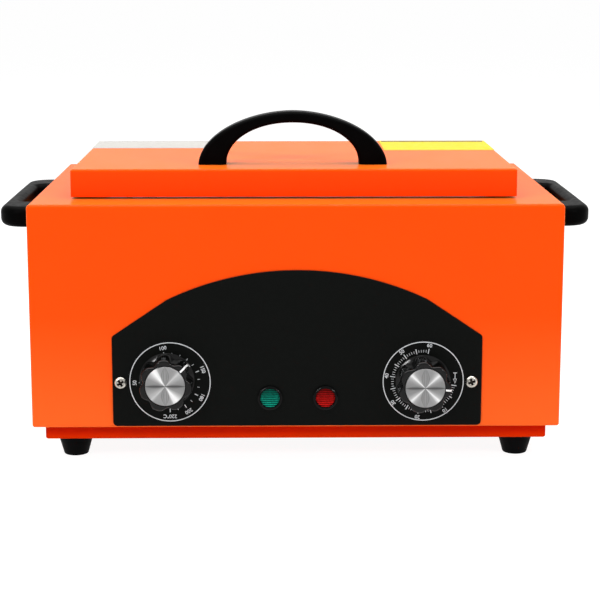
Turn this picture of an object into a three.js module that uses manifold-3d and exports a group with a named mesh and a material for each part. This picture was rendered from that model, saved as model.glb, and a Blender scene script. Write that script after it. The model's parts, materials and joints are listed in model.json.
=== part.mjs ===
// Bench-top dry heat sterilizer: a sheet-metal case around a stainless tank, closed by a hinged lid.
// Millimetres. X runs to the right, Y to the rear and Z up.
import * as THREE from 'three';
import { mergeVertices } from 'three/addons/utils/BufferGeometryUtils.js';
import Module from 'manifold-3d';

const wasm = await Module();
wasm.setup();

// Gaps: between faces that rest on each other, and round what passes through a hole or turns
const seat = 0.1;
const clearance = 0.3;
const overrun = 2;

// Case shell
const caseWidth = 351.4;
const caseDepth = 240;
const caseHeight = 149.4;
const caseSheet = 1.2;
const caseTopRadius = 2.5;
const caseCornerRadius = 1.6;
const caseReturn = 20;

// Base pan under the case
const panInset = 7.6;
const panDrop = 9.9;
const panSheet = 1.2;
const panFlange = 13;
const panCornerRadius = 2;
const panScrewSpacing = 130;
const panAccessRadius = 4.5;
const ventLength = 52;
const ventWidth = 4;
const ventPitch = 13;
const ventGroupX = 62;
const ventsPerGroup = 5;

// Feet
const footHeight = 15.1;
const footTopRadius = 12.2;
const footBottomRadius = 8.4;
const footEdgeRadius = 1.2;
const footRecessRadius = 5;
const footRecessDepth = 8;
const footInset = 18.1;
const footSetback = 20.4;

// Front panel
const panelWidth = 244.8;
const panelShift = 0.7;
const panelThickness = 1;
const panelBottom = 1.2;
const panelShoulder = 62;
const panelTop = 106.2;
const panelArcRadius = 197;
const panelArcHalf = 86;
const panelCornerRadius = 3;
const panelScrewX = 116.3;
const panelScrewZ = 31;

// Lid
const lidWidth = 297.7;
const lidDepth = 189;
const lidHeight = 18.5;
const lidStand = 1.4;
const lidSetback = 28.5;
const lidShift = -1;
const lidSheet = 1;
const lidTopRadius = 1.8;
const lidCornerRadius = 1.2;
const linerSheet = 0.8;
const linerRim = 6;

// Chamber tank, measured inside
const tankWidth = 262;
const tankDepth = 156;
const tankDrop = 72;
const tankSheet = 0.8;
const tankFlange = 8;
const tankCornerRadius = 10;
const tankFloorRadius = 6;

// Seal under the lid
const sealWidth = 6;
const sealHeight = 3.2;
const sealOffset = 1;

// Insulation round the tank
const woolThickness = 12;

// Heating element
const heaterRadius = 4;
const heaterWidth = 200;
const heaterDepth = 100;
const heaterLegs = 4;
const heaterTail = 26;
const heaterBend = 12;

// Lid handle
const handleWidth = 128.3;
const handleHeight = 36;
const handleFootWidth = 19;
const handleTopThickness = 7.6;
const handleDepth = 17;
const handleSetback = 62;
const handleShift = -0.7;
const handleEdgeRadius = 3;

// Side handles
const gripLength = 158;
const gripEndReach = 23.8;
const gripMiddleReach = 24;
const gripBar = 11.2;
const gripHeight = 14;
const gripPost = 32;
const gripCornerRadius = 17;
const gripInnerRadius = 7;
const gripEdgeRadius = 4.8;
const gripSetback = 32;
const gripBelowTop = 5.8;

// Hinge
const hingeLength = 220;
const hingeKnuckles = 7;
const hingeKnuckleRadius = 3;
const hingePinRadius = 1.5;
const hingeLeaf = 1.2;
const hingeFixedReach = 10;
const hingeLidReach = 12;

// Dials: the thermostat on the left and the timer on the right
const thermostatX = -85.6;
const thermostatZ = 33.1;
const timerX = 84.1;
const timerZ = 31.3;
const knobHeight = 20;
const knobDiscRadius = 18.2;
const knobDiscThickness = 1.6;
const knobLift = 0.8;
const knobLobeRadius = 17.5;
const knobFluteDepth = 2;
const knobLobes = 7;
const knobEdgeRadius = 1.2;
const knobHollowRadius = 9;
const knobHollowDepth = 7;
const capRadius = 13;
const capThickness = 1.6;
const capProud = 0.5;
const capBevel = 0.4;
const shaftRadius = 3;
const shaftReach = 15;
const shaftInside = 10;
const bushRadius = 4.6;
const bushReach = 5.5;
const thermostatWidth = 38;
const thermostatHeight = 34;
const thermostatBodyDepth = 26;
const timerBodyRadius = 22;
const timerBodyDepth = 32;

// Thermostat bulb on the tank's front wall
const bulbRadius = 3;
const bulbLength = 76;
const bulbBelowTop = 40;
const capillaryRadius = 1;

// Pilot lamps
const lampX = 18.4;
const lampShift = 1;
const lampZ = 20.4;
const lampBezelRadius = 8.15;
const lampBodyRadius = 7.2;
const lampLensRadius = 6.35;
const lampBezelHeight = 2.2;
const lampLensHeight = 1.6;
const lampCupDepth = 6;
const lampBodyLength = 24;

// Mains inlet on the rear face
const inletX = 108;
const inletZ = 30;
const inletWidth = 27;
const inletHeight = 20;
const inletDepth = 22;
const inletFlangeWidth = 50;
const inletFlangeHeight = 24;
const inletFlange = 2.6;
const inletCornerRadius = 4;
const inletSocketWidth = 22.8;
const inletSocketHeight = 15.8;
const inletSocketDepth = 17;
const inletScrewSpacing = 40;
const inletPinWidth = 2;
const inletPinHeight = 4;
const inletPinReach = 13;
const inletPinSpacing = 14;
const inletEarthRise = 4;

// Instrument tray in the tank
const trayGap = 3;
const trayHeight = 22;
const traySheet = 0.7;
const trayLip = 3;
const trayCornerRadius = 14;
const trayFloorRadius = 5;
const trayHoleRadius = 3;
const trayHolePitch = 38;
const trayHoleColumns = 6;
const trayHoleRows = 3;
const earThickness = 1.6;
const earLength = 9;
const earRise = 6;
const earSpacing = 64;
const bailRadius = 1.5;
const bailReach = 30;
const bailCornerRadius = 6;
const bailPivotRise = 3;

// Wires inside the case
const wireRadius = 1.3;
const wireBend = 12;
const wireFloorRise = 6;

// Screws: head radius, head height, shank radius and shank length
const panScrew = { head: 2.9, rise: 1.8, shank: 1.45, length: 6 };
const panelScrew = { head: 4, rise: 2.4, shank: 2, length: 8 };
const handleScrew = { head: 4, rise: 2.4, shank: 2, length: 10 };
const footScrew = { head: 4, rise: 2.4, shank: 2, length: 14 };
const inletScrew = { head: 2.9, rise: 1.8, shank: 1.45, length: 9 };

// Proportions of small rounded forms
const screwCrownShare = 0.7;
const lensShoulderShare = 0.6;
const lensRiseShare = 0.9;

// Powers of the cosine and sine that draw the lid handle's two arches: 1 gives a half ellipse
const archOuterShare = 1.07;
const archInnerShare = 0.96;

// Knob pointers at rest, in degrees anticlockwise from the right as seen from the front
const temperatureRest = 43.8;
const timerRest = -6;

// Facets
const cornerSteps = 3;
const edgeSteps = 2;
const roundSteps = 20;
const holeSteps = 10;
const boltSteps = 8;
const tubeSides = 6;
const lobeSteps = 6;
const footSteps = 16;

// Derived places, in the case's own frame: zero is on the front face at the bottom edge of the shell
const caseHalf = caseWidth / 2;
const caseMiddleY = caseDepth / 2;
const panHalfX = caseHalf - panInset;
const panHalfY = caseMiddleY - panInset;
const footX = panHalfX - footInset;
const footOffsetY = panHalfY - footSetback;
const lidHalf = lidWidth / 2;
const lidMiddleY = lidSetback + lidDepth / 2;
const lidRearY = lidSetback + lidDepth;
const lidBottomZ = caseHeight + lidStand;
const tankHalfX = tankWidth / 2 + tankSheet;
const tankHalfY = tankDepth / 2 + tankSheet;
const tankOuterRadius = tankCornerRadius + tankSheet;
const tankBottomZ = caseHeight - tankDrop;
const tankFlangeTopZ = caseHeight + seat + tankSheet;
const tankFrontY = lidMiddleY - tankHalfY;
const linerBottomZ = tankFlangeTopZ + clearance + sealHeight + seat;
const linerTopZ = linerBottomZ + linerSheet;
const heaterZ = tankBottomZ - clearance - heaterRadius;
const woolFloorZ = heaterZ - heaterRadius - clearance;
const woolBottomZ = woolFloorZ - woolThickness;
const hingeY = lidRearY + clearance + hingeKnuckleRadius;
const hingeZ = caseHeight + clearance + hingeKnuckleRadius;
const panelFrontY = -seat - panelThickness;
const bodyFrontY = caseSheet + clearance;
const frontReach = knobHeight - panelFrontY;
const rearReach = seat * 2 + inletFlange + inletScrew.rise;
const caseBottomZ = footHeight + seat + panDrop;
const caseFrontY = (frontReach - caseDepth - rearReach) / 2;
const gripZ = caseHeight - gripBelowTop - gripHeight / 2;
const gripY = gripSetback + gripLength / 2;
const gripScrewOffset = gripLength / 2 - gripPost / 2;
const handleScrewX = handleWidth / 2 - handleFootWidth / 2;
const trayFloorZ = tankBottomZ + tankSheet + seat;
const trayRimZ = trayFloorZ + trayHeight;
const trayHalfX = tankWidth / 2 - trayGap;
const trayHalfY = tankDepth / 2 - trayGap;
const bailPivotX = trayHalfX - trayLip - earLength / 2;
const bailPivotZ = trayRimZ + bailPivotRise;

// Outward-facing closed geometry from a list of points and a list of triangles
function closedGeometry(points, faces) {
  const positions = new Float32Array(points.flatMap((point) => [point.x, point.y, point.z]));
  let volume = 0;
  for (let i = 0; i < faces.length; i += 3) {
    const [a, b, c] = [points[faces[i]], points[faces[i + 1]], points[faces[i + 2]]];
    volume += a.dot(b.clone().cross(c));
  }
  const ordered = volume < 0 ? faces.slice().reverse() : faces;
  const geometry = new THREE.BufferGeometry();
  geometry.setAttribute('position', new THREE.BufferAttribute(positions, 3));
  geometry.setIndex(ordered);
  return geometry;
}

// Solid through rings of equal point counts: capped at both ends, or closed on itself
function ringSolid(rings, closed = false) {
  const count = rings[0].length;
  const spans = closed ? rings.length : rings.length - 1;
  const faces = [];
  for (let ring = 0; ring < spans; ring += 1) {
    const lower = ring * count;
    const upper = ((ring + 1) % rings.length) * count;
    for (let i = 0; i < count; i += 1) {
      const next = (i + 1) % count;
      faces.push(lower + i, lower + next, upper + next);
      faces.push(lower + i, upper + next, upper + i);
    }
  }
  const last = (rings.length - 1) * count;
  for (let i = 1; !closed && i + 1 < count; i += 1) {
    faces.push(0, i + 1, i);
    faces.push(last, last + i, last + i + 1);
  }
  return closedGeometry(rings.flat(), faces);
}

// Ring of points round a rectangle with rounded corners, at height z
function rectangleRing(halfX, halfY, radius, z) {
  const points = [];
  for (let corner = 0; corner < 4; corner += 1) {
    const signX = corner === 0 || corner === 3 ? 1 : -1;
    const signY = corner < 2 ? 1 : -1;
    for (let step = 0; step <= cornerSteps; step += 1) {
      const angle = (corner + step / cornerSteps) * Math.PI / 2;
      const x = signX * (halfX - radius) + radius * Math.cos(angle);
      const y = signY * (halfY - radius) + radius * Math.sin(angle);
      points.push(new THREE.Vector3(x, y, z));
    }
  }
  return points;
}

// Folded sheet form: each profile point is an inset from the outline and a height
function foldedForm(halfX, halfY, radius, profile, closed = false) {
  const least = radius / 8;
  const rings = profile.map(([inset, z]) => (
    rectangleRing(halfX - inset, halfY - inset, Math.max(radius - inset, least), z)
  ));
  return ringSolid(rings, closed);
}

// Quarter round of a profile, from the wall at `fromInset` to the flat at height `z`
function quarterRound(inset, z, radius, up, steps) {
  const points = [];
  for (let step = 0; step <= steps; step += 1) {
    const angle = (step / steps) * Math.PI / 2;
    const along = inset + radius * (1 - Math.cos(angle));
    points.push([along, z - up * radius * (1 - Math.sin(angle))]);
  }
  return points;
}

// Box between two corners
function boxBetween(x0, x1, y0, y1, z0, z1) {
  const geometry = new THREE.BoxGeometry(x1 - x0, y1 - y0, z1 - z0);
  return geometry.translate((x0 + x1) / 2, (y0 + y1) / 2, (z0 + z1) / 2);
}

// Cylinder standing on z from `low` to `high`
function cylinderUp(radius, low, high, steps) {
  const geometry = new THREE.CylinderGeometry(radius, radius, high - low, steps);
  return geometry.rotateX(Math.PI / 2).translate(0, 0, (low + high) / 2);
}

// Cylinder along y, and along x
function cylinderBack(x, z, radius, front, back, steps) {
  const geometry = new THREE.CylinderGeometry(radius, radius, back - front, steps);
  return geometry.translate(x, (front + back) / 2, z);
}

function cylinderAcross(y, z, radius, left, right, steps) {
  const geometry = new THREE.CylinderGeometry(radius, radius, right - left, steps);
  return geometry.rotateZ(Math.PI / 2).translate((left + right) / 2, y, z);
}

// Round form about z from a profile of [radius, height] points
function turned(profile, steps) {
  const points = profile.map(([radius, height]) => new THREE.Vector2(radius, height));
  return new THREE.LatheGeometry(points, steps).rotateX(Math.PI / 2);
}

// Solid of a geometry, for joining and cutting
function solidOf(geometry) {
  const bare = geometry.clone();
  bare.deleteAttribute('normal');
  bare.deleteAttribute('uv');
  const merged = mergeVertices(bare);
  const mesh = new wasm.Mesh({
    numProp: 3,
    vertProperties: new Float32Array(merged.attributes.position.array),
    triVerts: new Uint32Array(merged.index.array),
  });
  return new wasm.Manifold(mesh);
}

function geometryOf(solid) {
  const mesh = solid.getMesh();
  const geometry = new THREE.BufferGeometry();
  geometry.setAttribute('position', new THREE.BufferAttribute(new Float32Array(mesh.vertProperties), 3));
  geometry.setIndex(Array.from(mesh.triVerts));
  return geometry;
}

function joined(...geometries) {
  const solids = geometries.map(solidOf);
  return geometryOf(solids.reduce((whole, solid) => whole.add(solid)));
}

function cut(geometry, cutters) {
  const whole = cutters.map(solidOf).reduce((rest, cutter) => rest.subtract(cutter), solidOf(geometry));
  return geometryOf(whole);
}

// Route of a tube through corner points, with a round bend at each inner corner
class Route extends THREE.Curve {
  constructor(corners, bend, bendSteps) {
    super();
    this.places = [corners[0]];
    for (let i = 1; i + 1 < corners.length; i += 1) {
      this.addBend(corners[i - 1], corners[i], corners[i + 1], bend, bendSteps);
    }
    this.places.push(corners[corners.length - 1]);
  }

  addBend(before, corner, after, bend, bendSteps) {
    const back = before.clone().sub(corner);
    const ahead = after.clone().sub(corner);
    const reach = Math.min(bend, back.length() / 2, ahead.length() / 2);
    const start = corner.clone().addScaledVector(back.normalize(), reach);
    const end = corner.clone().addScaledVector(ahead.normalize(), reach);
    const curve = new THREE.QuadraticBezierCurve3(start, corner, end);
    this.places.push(...curve.getPoints(bendSteps));
  }

  getPoint(share) {
    return this.places[Math.round(share * (this.places.length - 1))].clone();
  }

  getPointAt(share) {
    return this.getPoint(share);
  }

  getTangentAt(share) {
    const index = Math.round(share * (this.places.length - 1));
    const before = this.places[Math.max(index - 1, 0)];
    const after = this.places[Math.min(index + 1, this.places.length - 1)];
    const here = this.places[index];
    const arriving = here.clone().sub(before).normalize();
    const leaving = after.clone().sub(here).normalize();
    return arriving.add(leaving).normalize();
  }
}

// Tube of a round section along a route
function tubeAlong(corners, radius, bend) {
  const route = new Route(corners, bend, cornerSteps + 1);
  const section = new THREE.Shape();
  for (let side = 0; side < tubeSides; side += 1) {
    const angle = (side / tubeSides) * Math.PI * 2;
    const place = [radius * Math.cos(angle), radius * Math.sin(angle)];
    if (side === 0) section.moveTo(...place);
    else section.lineTo(...place);
  }
  section.closePath();
  return new THREE.ExtrudeGeometry(section, {
    steps: route.places.length - 1,
    bevelEnabled: false,
    extrudePath: route,
  });
}

// Screw with its bearing face at zero, its head above and its shank below
function screwForm(size) {
  const shoulder = size.rise / 2;
  const crown = size.head * screwCrownShare;
  return turned([
    [0, -size.length],
    [size.shank, -size.length],
    [size.shank, 0],
    [size.head, 0],
    [size.head, shoulder],
    [crown, size.rise],
    [0, size.rise],
  ], boltSteps);
}

// Colours and finishes
const palette = {
  orangePaint: { color: 0xf4501e, roughness: 0.32, metalness: 0 },
  blackPanel: { color: 0x121412, roughness: 0.45, metalness: 0 },
  blackMoulding: { color: 0x0d0e0d, roughness: 0.3, metalness: 0 },
  blackRubber: { color: 0x0b0b0b, roughness: 0.75, metalness: 0 },
  stainless: { color: 0xb9bcbc, roughness: 0.28, metalness: 1 },
  aluminium: { color: 0xc9cbcc, roughness: 0.3, metalness: 1 },
  plated: { color: 0xb5b3a8, roughness: 0.25, metalness: 1 },
  brass: { color: 0xb8954a, roughness: 0.35, metalness: 1 },
  copper: { color: 0xb06a45, roughness: 0.4, metalness: 1 },
  wool: { color: 0xd8cfb4, roughness: 0.95, metalness: 0 },
  silicone: { color: 0xb33a2a, roughness: 0.7, metalness: 0 },
  greenLens: { color: 0x0a8264, roughness: 0.15, metalness: 0 },
  redLens: { color: 0xbe1414, roughness: 0.15, metalness: 0 },
  bakelite: { color: 0x2a2724, roughness: 0.5, metalness: 0 },
  brownWire: { color: 0x5a3420, roughness: 0.6, metalness: 0 },
  blueWire: { color: 0x24509a, roughness: 0.6, metalness: 0 },
};

function addPart(parent, name, geometry, finish) {
  const mesh = new THREE.Mesh(geometry, new THREE.MeshStandardMaterial(palette[finish]));
  mesh.name = name;
  parent.add(mesh);
  return mesh;
}

const sterilizer = new THREE.Group();
const body = new THREE.Group();
body.position.set(0, caseFrontY, caseBottomZ);
sterilizer.add(body);

// Case shell, open underneath, with the tank's opening in its top
function caseShell() {
  const innerRound = caseTopRadius - caseSheet;
  const shell = foldedForm(caseHalf, caseMiddleY, caseCornerRadius, [
    [caseSheet + innerRound, caseHeight - caseSheet],
    [caseSheet, caseHeight - caseTopRadius],
    [caseSheet, caseSheet],
    [caseReturn, caseSheet],
    [caseReturn, 0],
    [0, 0],
    ...quarterRound(0, caseHeight, caseTopRadius, 1, cornerSteps),
  ]);
  shell.translate(0, caseMiddleY, 0);
  const opening = foldedForm(tankHalfX + clearance, tankHalfY + clearance, tankOuterRadius, [
    [0, caseHeight - caseSheet - overrun],
    [0, caseHeight + overrun],
  ]);
  opening.translate(0, lidMiddleY, 0);
  const cutters = [opening, ...dialHoles()];
  for (const side of [-1, 1]) {
    cutters.push(frontHole(lampShift + side * lampX, lampZ, lampBodyRadius + clearance));
    cutters.push(frontHole(side * panelScrewX, panelScrewZ, panelScrew.shank + clearance));
    cutters.push(rearHole(inletX + side * inletScrewSpacing / 2, inletZ, inletScrew.shank + clearance));
    for (const end of [-1, 1]) {
      const [inner, outer] = [caseHalf - caseSheet - overrun, caseHalf + overrun];
      const [left, right] = side > 0 ? [inner, outer] : [-outer, -inner];
      const holeRadius = handleScrew.shank + clearance;
      cutters.push(cylinderAcross(gripY + end * gripScrewOffset, gripZ, holeRadius, left, right, holeSteps));
      const panHole = cylinderUp(panScrew.shank + clearance, -overrun, caseSheet + overrun, holeSteps);
      cutters.push(panHole.translate(side * panScrewX(), caseMiddleY + end * panScrewSpacing / 2, 0));
    }
  }
  const inletHalfX = inletWidth / 2 + clearance;
  const inletHalfZ = inletHeight / 2 + clearance;
  cutters.push(boxBetween(
    inletX - inletHalfX,
    inletX + inletHalfX,
    caseDepth - caseSheet - overrun,
    caseDepth + overrun,
    inletZ - inletHalfZ,
    inletZ + inletHalfZ,
  ));
  return cut(shell, cutters);
}

function frontHole(x, z, radius) {
  return cylinderBack(x, z, radius, panelFrontY - overrun, caseSheet + overrun, roundSteps);
}

function dialHoles() {
  return [
    frontHole(thermostatX, thermostatZ, bushRadius + clearance),
    frontHole(timerX, timerZ, bushRadius + clearance),
  ];
}

function rearHole(x, z, radius) {
  return cylinderBack(x, z, radius, caseDepth - caseSheet - overrun, caseDepth + overrun, holeSteps);
}

addPart(body, 'case_shell', caseShell(), 'orangePaint');

// Base pan: its flange turns inwards under the shell's return, with an access hole under each screw
function panScrewX() {
  return panHalfX - (panSheet + panFlange) / 2;
}

function basePan() {
  const pan = foldedForm(panHalfX, panHalfY, panCornerRadius, [
    [panSheet, panSheet - panDrop],
    [panSheet, -seat - panSheet],
    [panFlange, -seat - panSheet],
    [panFlange, -seat],
    [0, -seat],
    [0, -panDrop],
  ]);
  pan.translate(0, caseMiddleY, 0);
  const cutters = [];
  for (const side of [-1, 1]) {
    for (const end of [-1, 1]) {
      const screwY = caseMiddleY + end * panScrewSpacing / 2;
      const access = cylinderUp(panAccessRadius, -panDrop - overrun, panSheet - panDrop + overrun, holeSteps);
      cutters.push(access.translate(side * panScrewX(), screwY, 0));
      const screwHole = cylinderUp(panScrew.shank + clearance, -panSheet - overrun, overrun, holeSteps);
      cutters.push(screwHole.translate(side * panScrewX(), screwY, 0));
      const footHole = cylinderUp(
        footScrew.shank + clearance,
        -panDrop - overrun,
        panSheet - panDrop + overrun,
        holeSteps,
      );
      cutters.push(footHole.translate(side * footX, caseMiddleY + end * footOffsetY, 0));
    }
    for (let slot = 0; slot < ventsPerGroup; slot += 1) {
      const slotX = side * ventGroupX + (slot - (ventsPerGroup - 1) / 2) * ventPitch;
      cutters.push(boxBetween(
        slotX - ventWidth / 2,
        slotX + ventWidth / 2,
        caseMiddleY - ventLength / 2,
        caseMiddleY + ventLength / 2,
        -panDrop - overrun,
        panSheet - panDrop + overrun,
      ));
    }
  }
  return cut(pan, cutters);
}

addPart(body, 'base_pan', basePan(), 'orangePaint');

// Feet with their screws, and the screws that hold the pan
function footForm() {
  const screwHole = footScrew.shank + clearance;
  const rim = footBottomRadius - footEdgeRadius;
  return turned([
    [screwHole, footRecessDepth],
    [footRecessRadius, footRecessDepth],
    [footRecessRadius, 0],
    [rim, 0],
    [footBottomRadius, footEdgeRadius],
    [footTopRadius, footHeight],
    [screwHole, footHeight],
    [screwHole, footRecessDepth],
  ], footSteps);
}

for (const [sideName, side] of [['left', -1], ['right', 1]]) {
  for (const [endName, end] of [['front', -1], ['rear', 1]]) {
    const footY = caseMiddleY + end * footOffsetY;
    const foot = addPart(body, `foot_${endName}_${sideName}`, footForm(), 'blackRubber');
    foot.position.set(side * footX, footY, -caseBottomZ);
    const footBolt = addPart(body, `foot_screw_${endName}_${sideName}`, screwForm(footScrew), 'plated');
    footBolt.position.set(side * footX, footY, footRecessDepth - seat - caseBottomZ);
    footBolt.rotation.x = Math.PI;
    const panBolt = addPart(body, `base_screw_${endName}_${sideName}`, screwForm(panScrew), 'plated');
    panBolt.position.set(side * panScrewX(), caseMiddleY + end * panScrewSpacing / 2, -panSheet - seat * 2);
    panBolt.rotation.x = Math.PI;
  }
}

// Front panel: straight sides, slanted shoulders and an arched top
function frontPanel() {
  const half = panelWidth / 2;
  const radius = panelCornerRadius;
  const arcCentre = panelTop - panelArcRadius;
  const halfAngle = Math.asin(panelArcHalf / panelArcRadius);
  const outline = new THREE.Shape();
  outline.moveTo(-half, panelShoulder);
  outline.lineTo(-half, panelBottom + radius);
  outline.absarc(-half + radius, panelBottom + radius, radius, Math.PI, Math.PI * 1.5, false);
  outline.absarc(half - radius, panelBottom + radius, radius, Math.PI * 1.5, Math.PI * 2, false);
  outline.lineTo(half, panelShoulder);
  outline.absarc(0, arcCentre, panelArcRadius, Math.PI / 2 - halfAngle, Math.PI / 2 + halfAngle, false);
  outline.closePath();
  const plate = new THREE.ExtrudeGeometry(outline, {
    depth: panelThickness,
    bevelEnabled: false,
    curveSegments: lobeSteps,
  });
  plate.rotateX(Math.PI / 2).translate(panelShift, -seat, 0);
  const cutters = dialHoles();
  for (const side of [-1, 1]) {
    cutters.push(frontHole(lampShift + side * lampX, lampZ, lampBodyRadius + clearance));
    cutters.push(frontHole(side * panelScrewX, panelScrewZ, panelScrew.shank + clearance));
  }
  return cut(plate, cutters);
}

addPart(body, 'front_panel', frontPanel(), 'blackPanel');

// Everything on the front face is built facing up and turned to face forwards
const front = new THREE.Group();
front.position.set(0, panelFrontY, 0);
front.rotation.x = Math.PI / 2;
body.add(front);

for (const [sideName, side] of [['left', -1], ['right', 1]]) {
  const bolt = addPart(front, `panel_screw_${sideName}`, screwForm(panelScrew), 'plated');
  bolt.position.set(side * panelScrewX, panelScrewZ, seat);
}

// Pilot lamps: a cup-shaped housing with a lens in its mouth
function lampHousing() {
  const mouth = lampLensRadius + clearance;
  const bezelShoulder = lampBezelHeight / 2;
  const bezelTop = (mouth + lampBezelRadius) / 2;
  return turned([
    [0, -lampBodyLength],
    [lampBodyRadius, -lampBodyLength],
    [lampBodyRadius, seat],
    [lampBezelRadius, seat],
    [lampBezelRadius, bezelShoulder],
    [bezelTop, lampBezelHeight],
    [mouth, bezelShoulder],
    [mouth, -lampCupDepth],
    [0, -lampCupDepth],
  ], roundSteps);
}

function lampLens() {
  const edge = lampLensHeight / 2;
  return turned([
    [0, seat - lampCupDepth],
    [lampLensRadius, seat - lampCupDepth],
    [lampLensRadius, edge],
    [lampLensRadius * lensShoulderShare, lampLensHeight * lensRiseShare],
    [0, lampLensHeight],
  ], roundSteps);
}

for (const [sideName, side, finish] of [['left', -1, 'greenLens'], ['right', 1, 'redLens']]) {
  const lamp = new THREE.Group();
  lamp.position.set(lampShift + side * lampX, lampZ, 0);
  front.add(lamp);
  addPart(lamp, `lamp_housing_${sideName}`, lampHousing(), 'blackMoulding');
  addPart(lamp, `lamp_lens_${sideName}`, lampLens(), finish);
}

// Knobs: a round skirt, a fluted grip and a metal cap let into the face
function lobedRing(inset, z, lobed) {
  const points = [];
  const count = knobLobes * lobeSteps;
  for (let i = 0; i < count; i += 1) {
    const angle = (i / count) * Math.PI * 2;
    const flute = ((1 - Math.cos(knobLobes * angle)) / 2) ** 2;
    const radius = lobed ? knobLobeRadius - knobFluteDepth * flute - inset : knobDiscRadius - inset;
    points.push(new THREE.Vector3(radius * Math.cos(angle), radius * Math.sin(angle), z));
  }
  return points;
}

function knobForm() {
  const discTop = knobLift + knobDiscThickness;
  const gripTop = knobHeight - capProud;
  const eased = knobEdgeRadius * (1 - Math.SQRT1_2);
  const outside = ringSolid([
    lobedRing(0, knobLift, false),
    lobedRing(0, discTop - knobEdgeRadius / 2, false),
    lobedRing(knobEdgeRadius / 2, discTop, false),
    lobedRing(0, discTop + knobEdgeRadius / 2, true),
    lobedRing(0, gripTop - knobEdgeRadius, true),
    lobedRing(eased, gripTop - eased, true),
    lobedRing(knobEdgeRadius, gripTop, true),
  ]);
  const capSeat = gripTop + capProud - capThickness - seat;
  return cut(outside, [
    cylinderUp(knobHollowRadius, knobLift - overrun, knobHollowDepth, roundSteps),
    cylinderUp(shaftRadius + clearance, knobHollowDepth - overrun, shaftReach + clearance, holeSteps),
    cylinderUp(capRadius + clearance / 2, capSeat, gripTop + overrun, roundSteps * 2),
  ]);
}

function knobCap() {
  const low = knobHeight - capThickness;
  return turned([
    [0, low],
    [capRadius, low],
    [capRadius, knobHeight - capBevel],
    [capRadius - capBevel, knobHeight],
    [0, knobHeight],
  ], roundSteps * 2);
}

function shaftForm() {
  return cylinderUp(shaftRadius, -shaftInside, shaftReach, holeSteps);
}

// Regulator body behind the panel, with the bush that its shaft turns in
function regulatorBody(block) {
  const bush = cylinderUp(bushRadius, -bodyBack() - overrun, bushReach, roundSteps);
  const bore = cylinderUp(shaftRadius + clearance, -shaftInside - clearance, bushReach + overrun, holeSteps);
  return cut(joined(block, bush), [bore]);
}

function bodyBack() {
  return bodyFrontY - panelFrontY;
}

const thermostatBlock = boxBetween(
  -thermostatWidth / 2,
  thermostatWidth / 2,
  -thermostatHeight / 2,
  thermostatHeight / 2,
  -bodyBack() - thermostatBodyDepth,
  -bodyBack(),
);
const timerBlock = cylinderUp(timerBodyRadius, -bodyBack() - timerBodyDepth, -bodyBack(), roundSteps);

for (const [dialName, knobName, dialX, dialZ, block, angle] of [
  ['thermostat', 'temperature_knob', thermostatX, thermostatZ, thermostatBlock, temperatureRest],
  ['timer', 'timer_knob', timerX, timerZ, timerBlock, timerRest],
]) {
  const dial = new THREE.Group();
  dial.position.set(dialX, dialZ, 0);
  front.add(dial);
  addPart(dial, `${dialName}_body`, regulatorBody(block), 'bakelite');
  addPart(dial, `${dialName}_shaft`, shaftForm(), 'plated');
  const turn = angle * Math.PI / 180;
  addPart(dial, knobName, knobForm(), 'blackMoulding').rotation.z = turn;
  addPart(dial, `${knobName}_cap`, knobCap(), 'aluminium').rotation.z = turn;
}

// Side handles: a bowed bar on two posts
function sideGrip() {
  const half = gripLength / 2;
  const radius = gripCornerRadius;
  const bow = gripMiddleReach * 2 - gripEndReach;
  const innerHalf = half - gripPost;
  const buried = gripEdgeRadius * 2;
  const innerReach = gripEndReach - gripBar;
  const innerBow = bow - gripBar;
  const outline = new THREE.Shape();
  outline.moveTo(-buried, -half);
  outline.lineTo(gripEndReach - radius, -half);
  outline.absarc(gripEndReach - radius, -half + radius, radius, -Math.PI / 2, 0, false);
  outline.quadraticCurveTo(bow, 0, gripEndReach, half - radius);
  outline.absarc(gripEndReach - radius, half - radius, radius, 0, Math.PI / 2, false);
  outline.lineTo(-buried, half);
  outline.lineTo(-buried, innerHalf);
  outline.lineTo(innerReach - gripInnerRadius, innerHalf);
  outline.quadraticCurveTo(innerReach, innerHalf, innerReach, innerHalf - gripInnerRadius);
  outline.quadraticCurveTo(innerBow, 0, innerReach, gripInnerRadius - innerHalf);
  outline.quadraticCurveTo(innerReach, -innerHalf, innerReach - gripInnerRadius, -innerHalf);
  outline.lineTo(-buried, -innerHalf);
  outline.closePath();
  const bar = new THREE.ExtrudeGeometry(outline, {
    depth: gripHeight - gripEdgeRadius * 2,
    bevelThickness: gripEdgeRadius,
    bevelSize: gripEdgeRadius,
    bevelOffset: -gripEdgeRadius,
    bevelSegments: edgeSteps,
    curveSegments: cornerSteps,
  });
  bar.translate(0, 0, gripEdgeRadius - gripHeight / 2);
  const wall = boxBetween(-gripMiddleReach, seat, -gripLength, gripLength, -gripHeight, gripHeight);
  const depth = handleScrew.length + clearance;
  const cutters = [wall];
  for (const end of [-1, 1]) {
    cutters.push(cylinderAcross(
      end * gripScrewOffset,
      0,
      handleScrew.shank + clearance,
      -overrun,
      depth,
      holeSteps,
    ));
  }
  return cut(bar, cutters);
}

for (const [sideName, side] of [['left', -1], ['right', 1]]) {
  const grip = new THREE.Group();
  grip.position.set(side * caseHalf, gripY, gripZ);
  grip.rotation.z = side > 0 ? 0 : Math.PI;
  body.add(grip);
  addPart(grip, `side_handle_${sideName}`, sideGrip(), 'blackMoulding');
  for (const [endName, end] of [['front', -side], ['rear', side]]) {
    const name = `side_handle_screw_${endName}_${sideName}`;
    const bolt = addPart(grip, name, screwForm(handleScrew), 'plated');
    bolt.position.set(-caseSheet - seat, end * gripScrewOffset, 0);
    bolt.rotation.y = -Math.PI / 2;
  }
}

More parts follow.
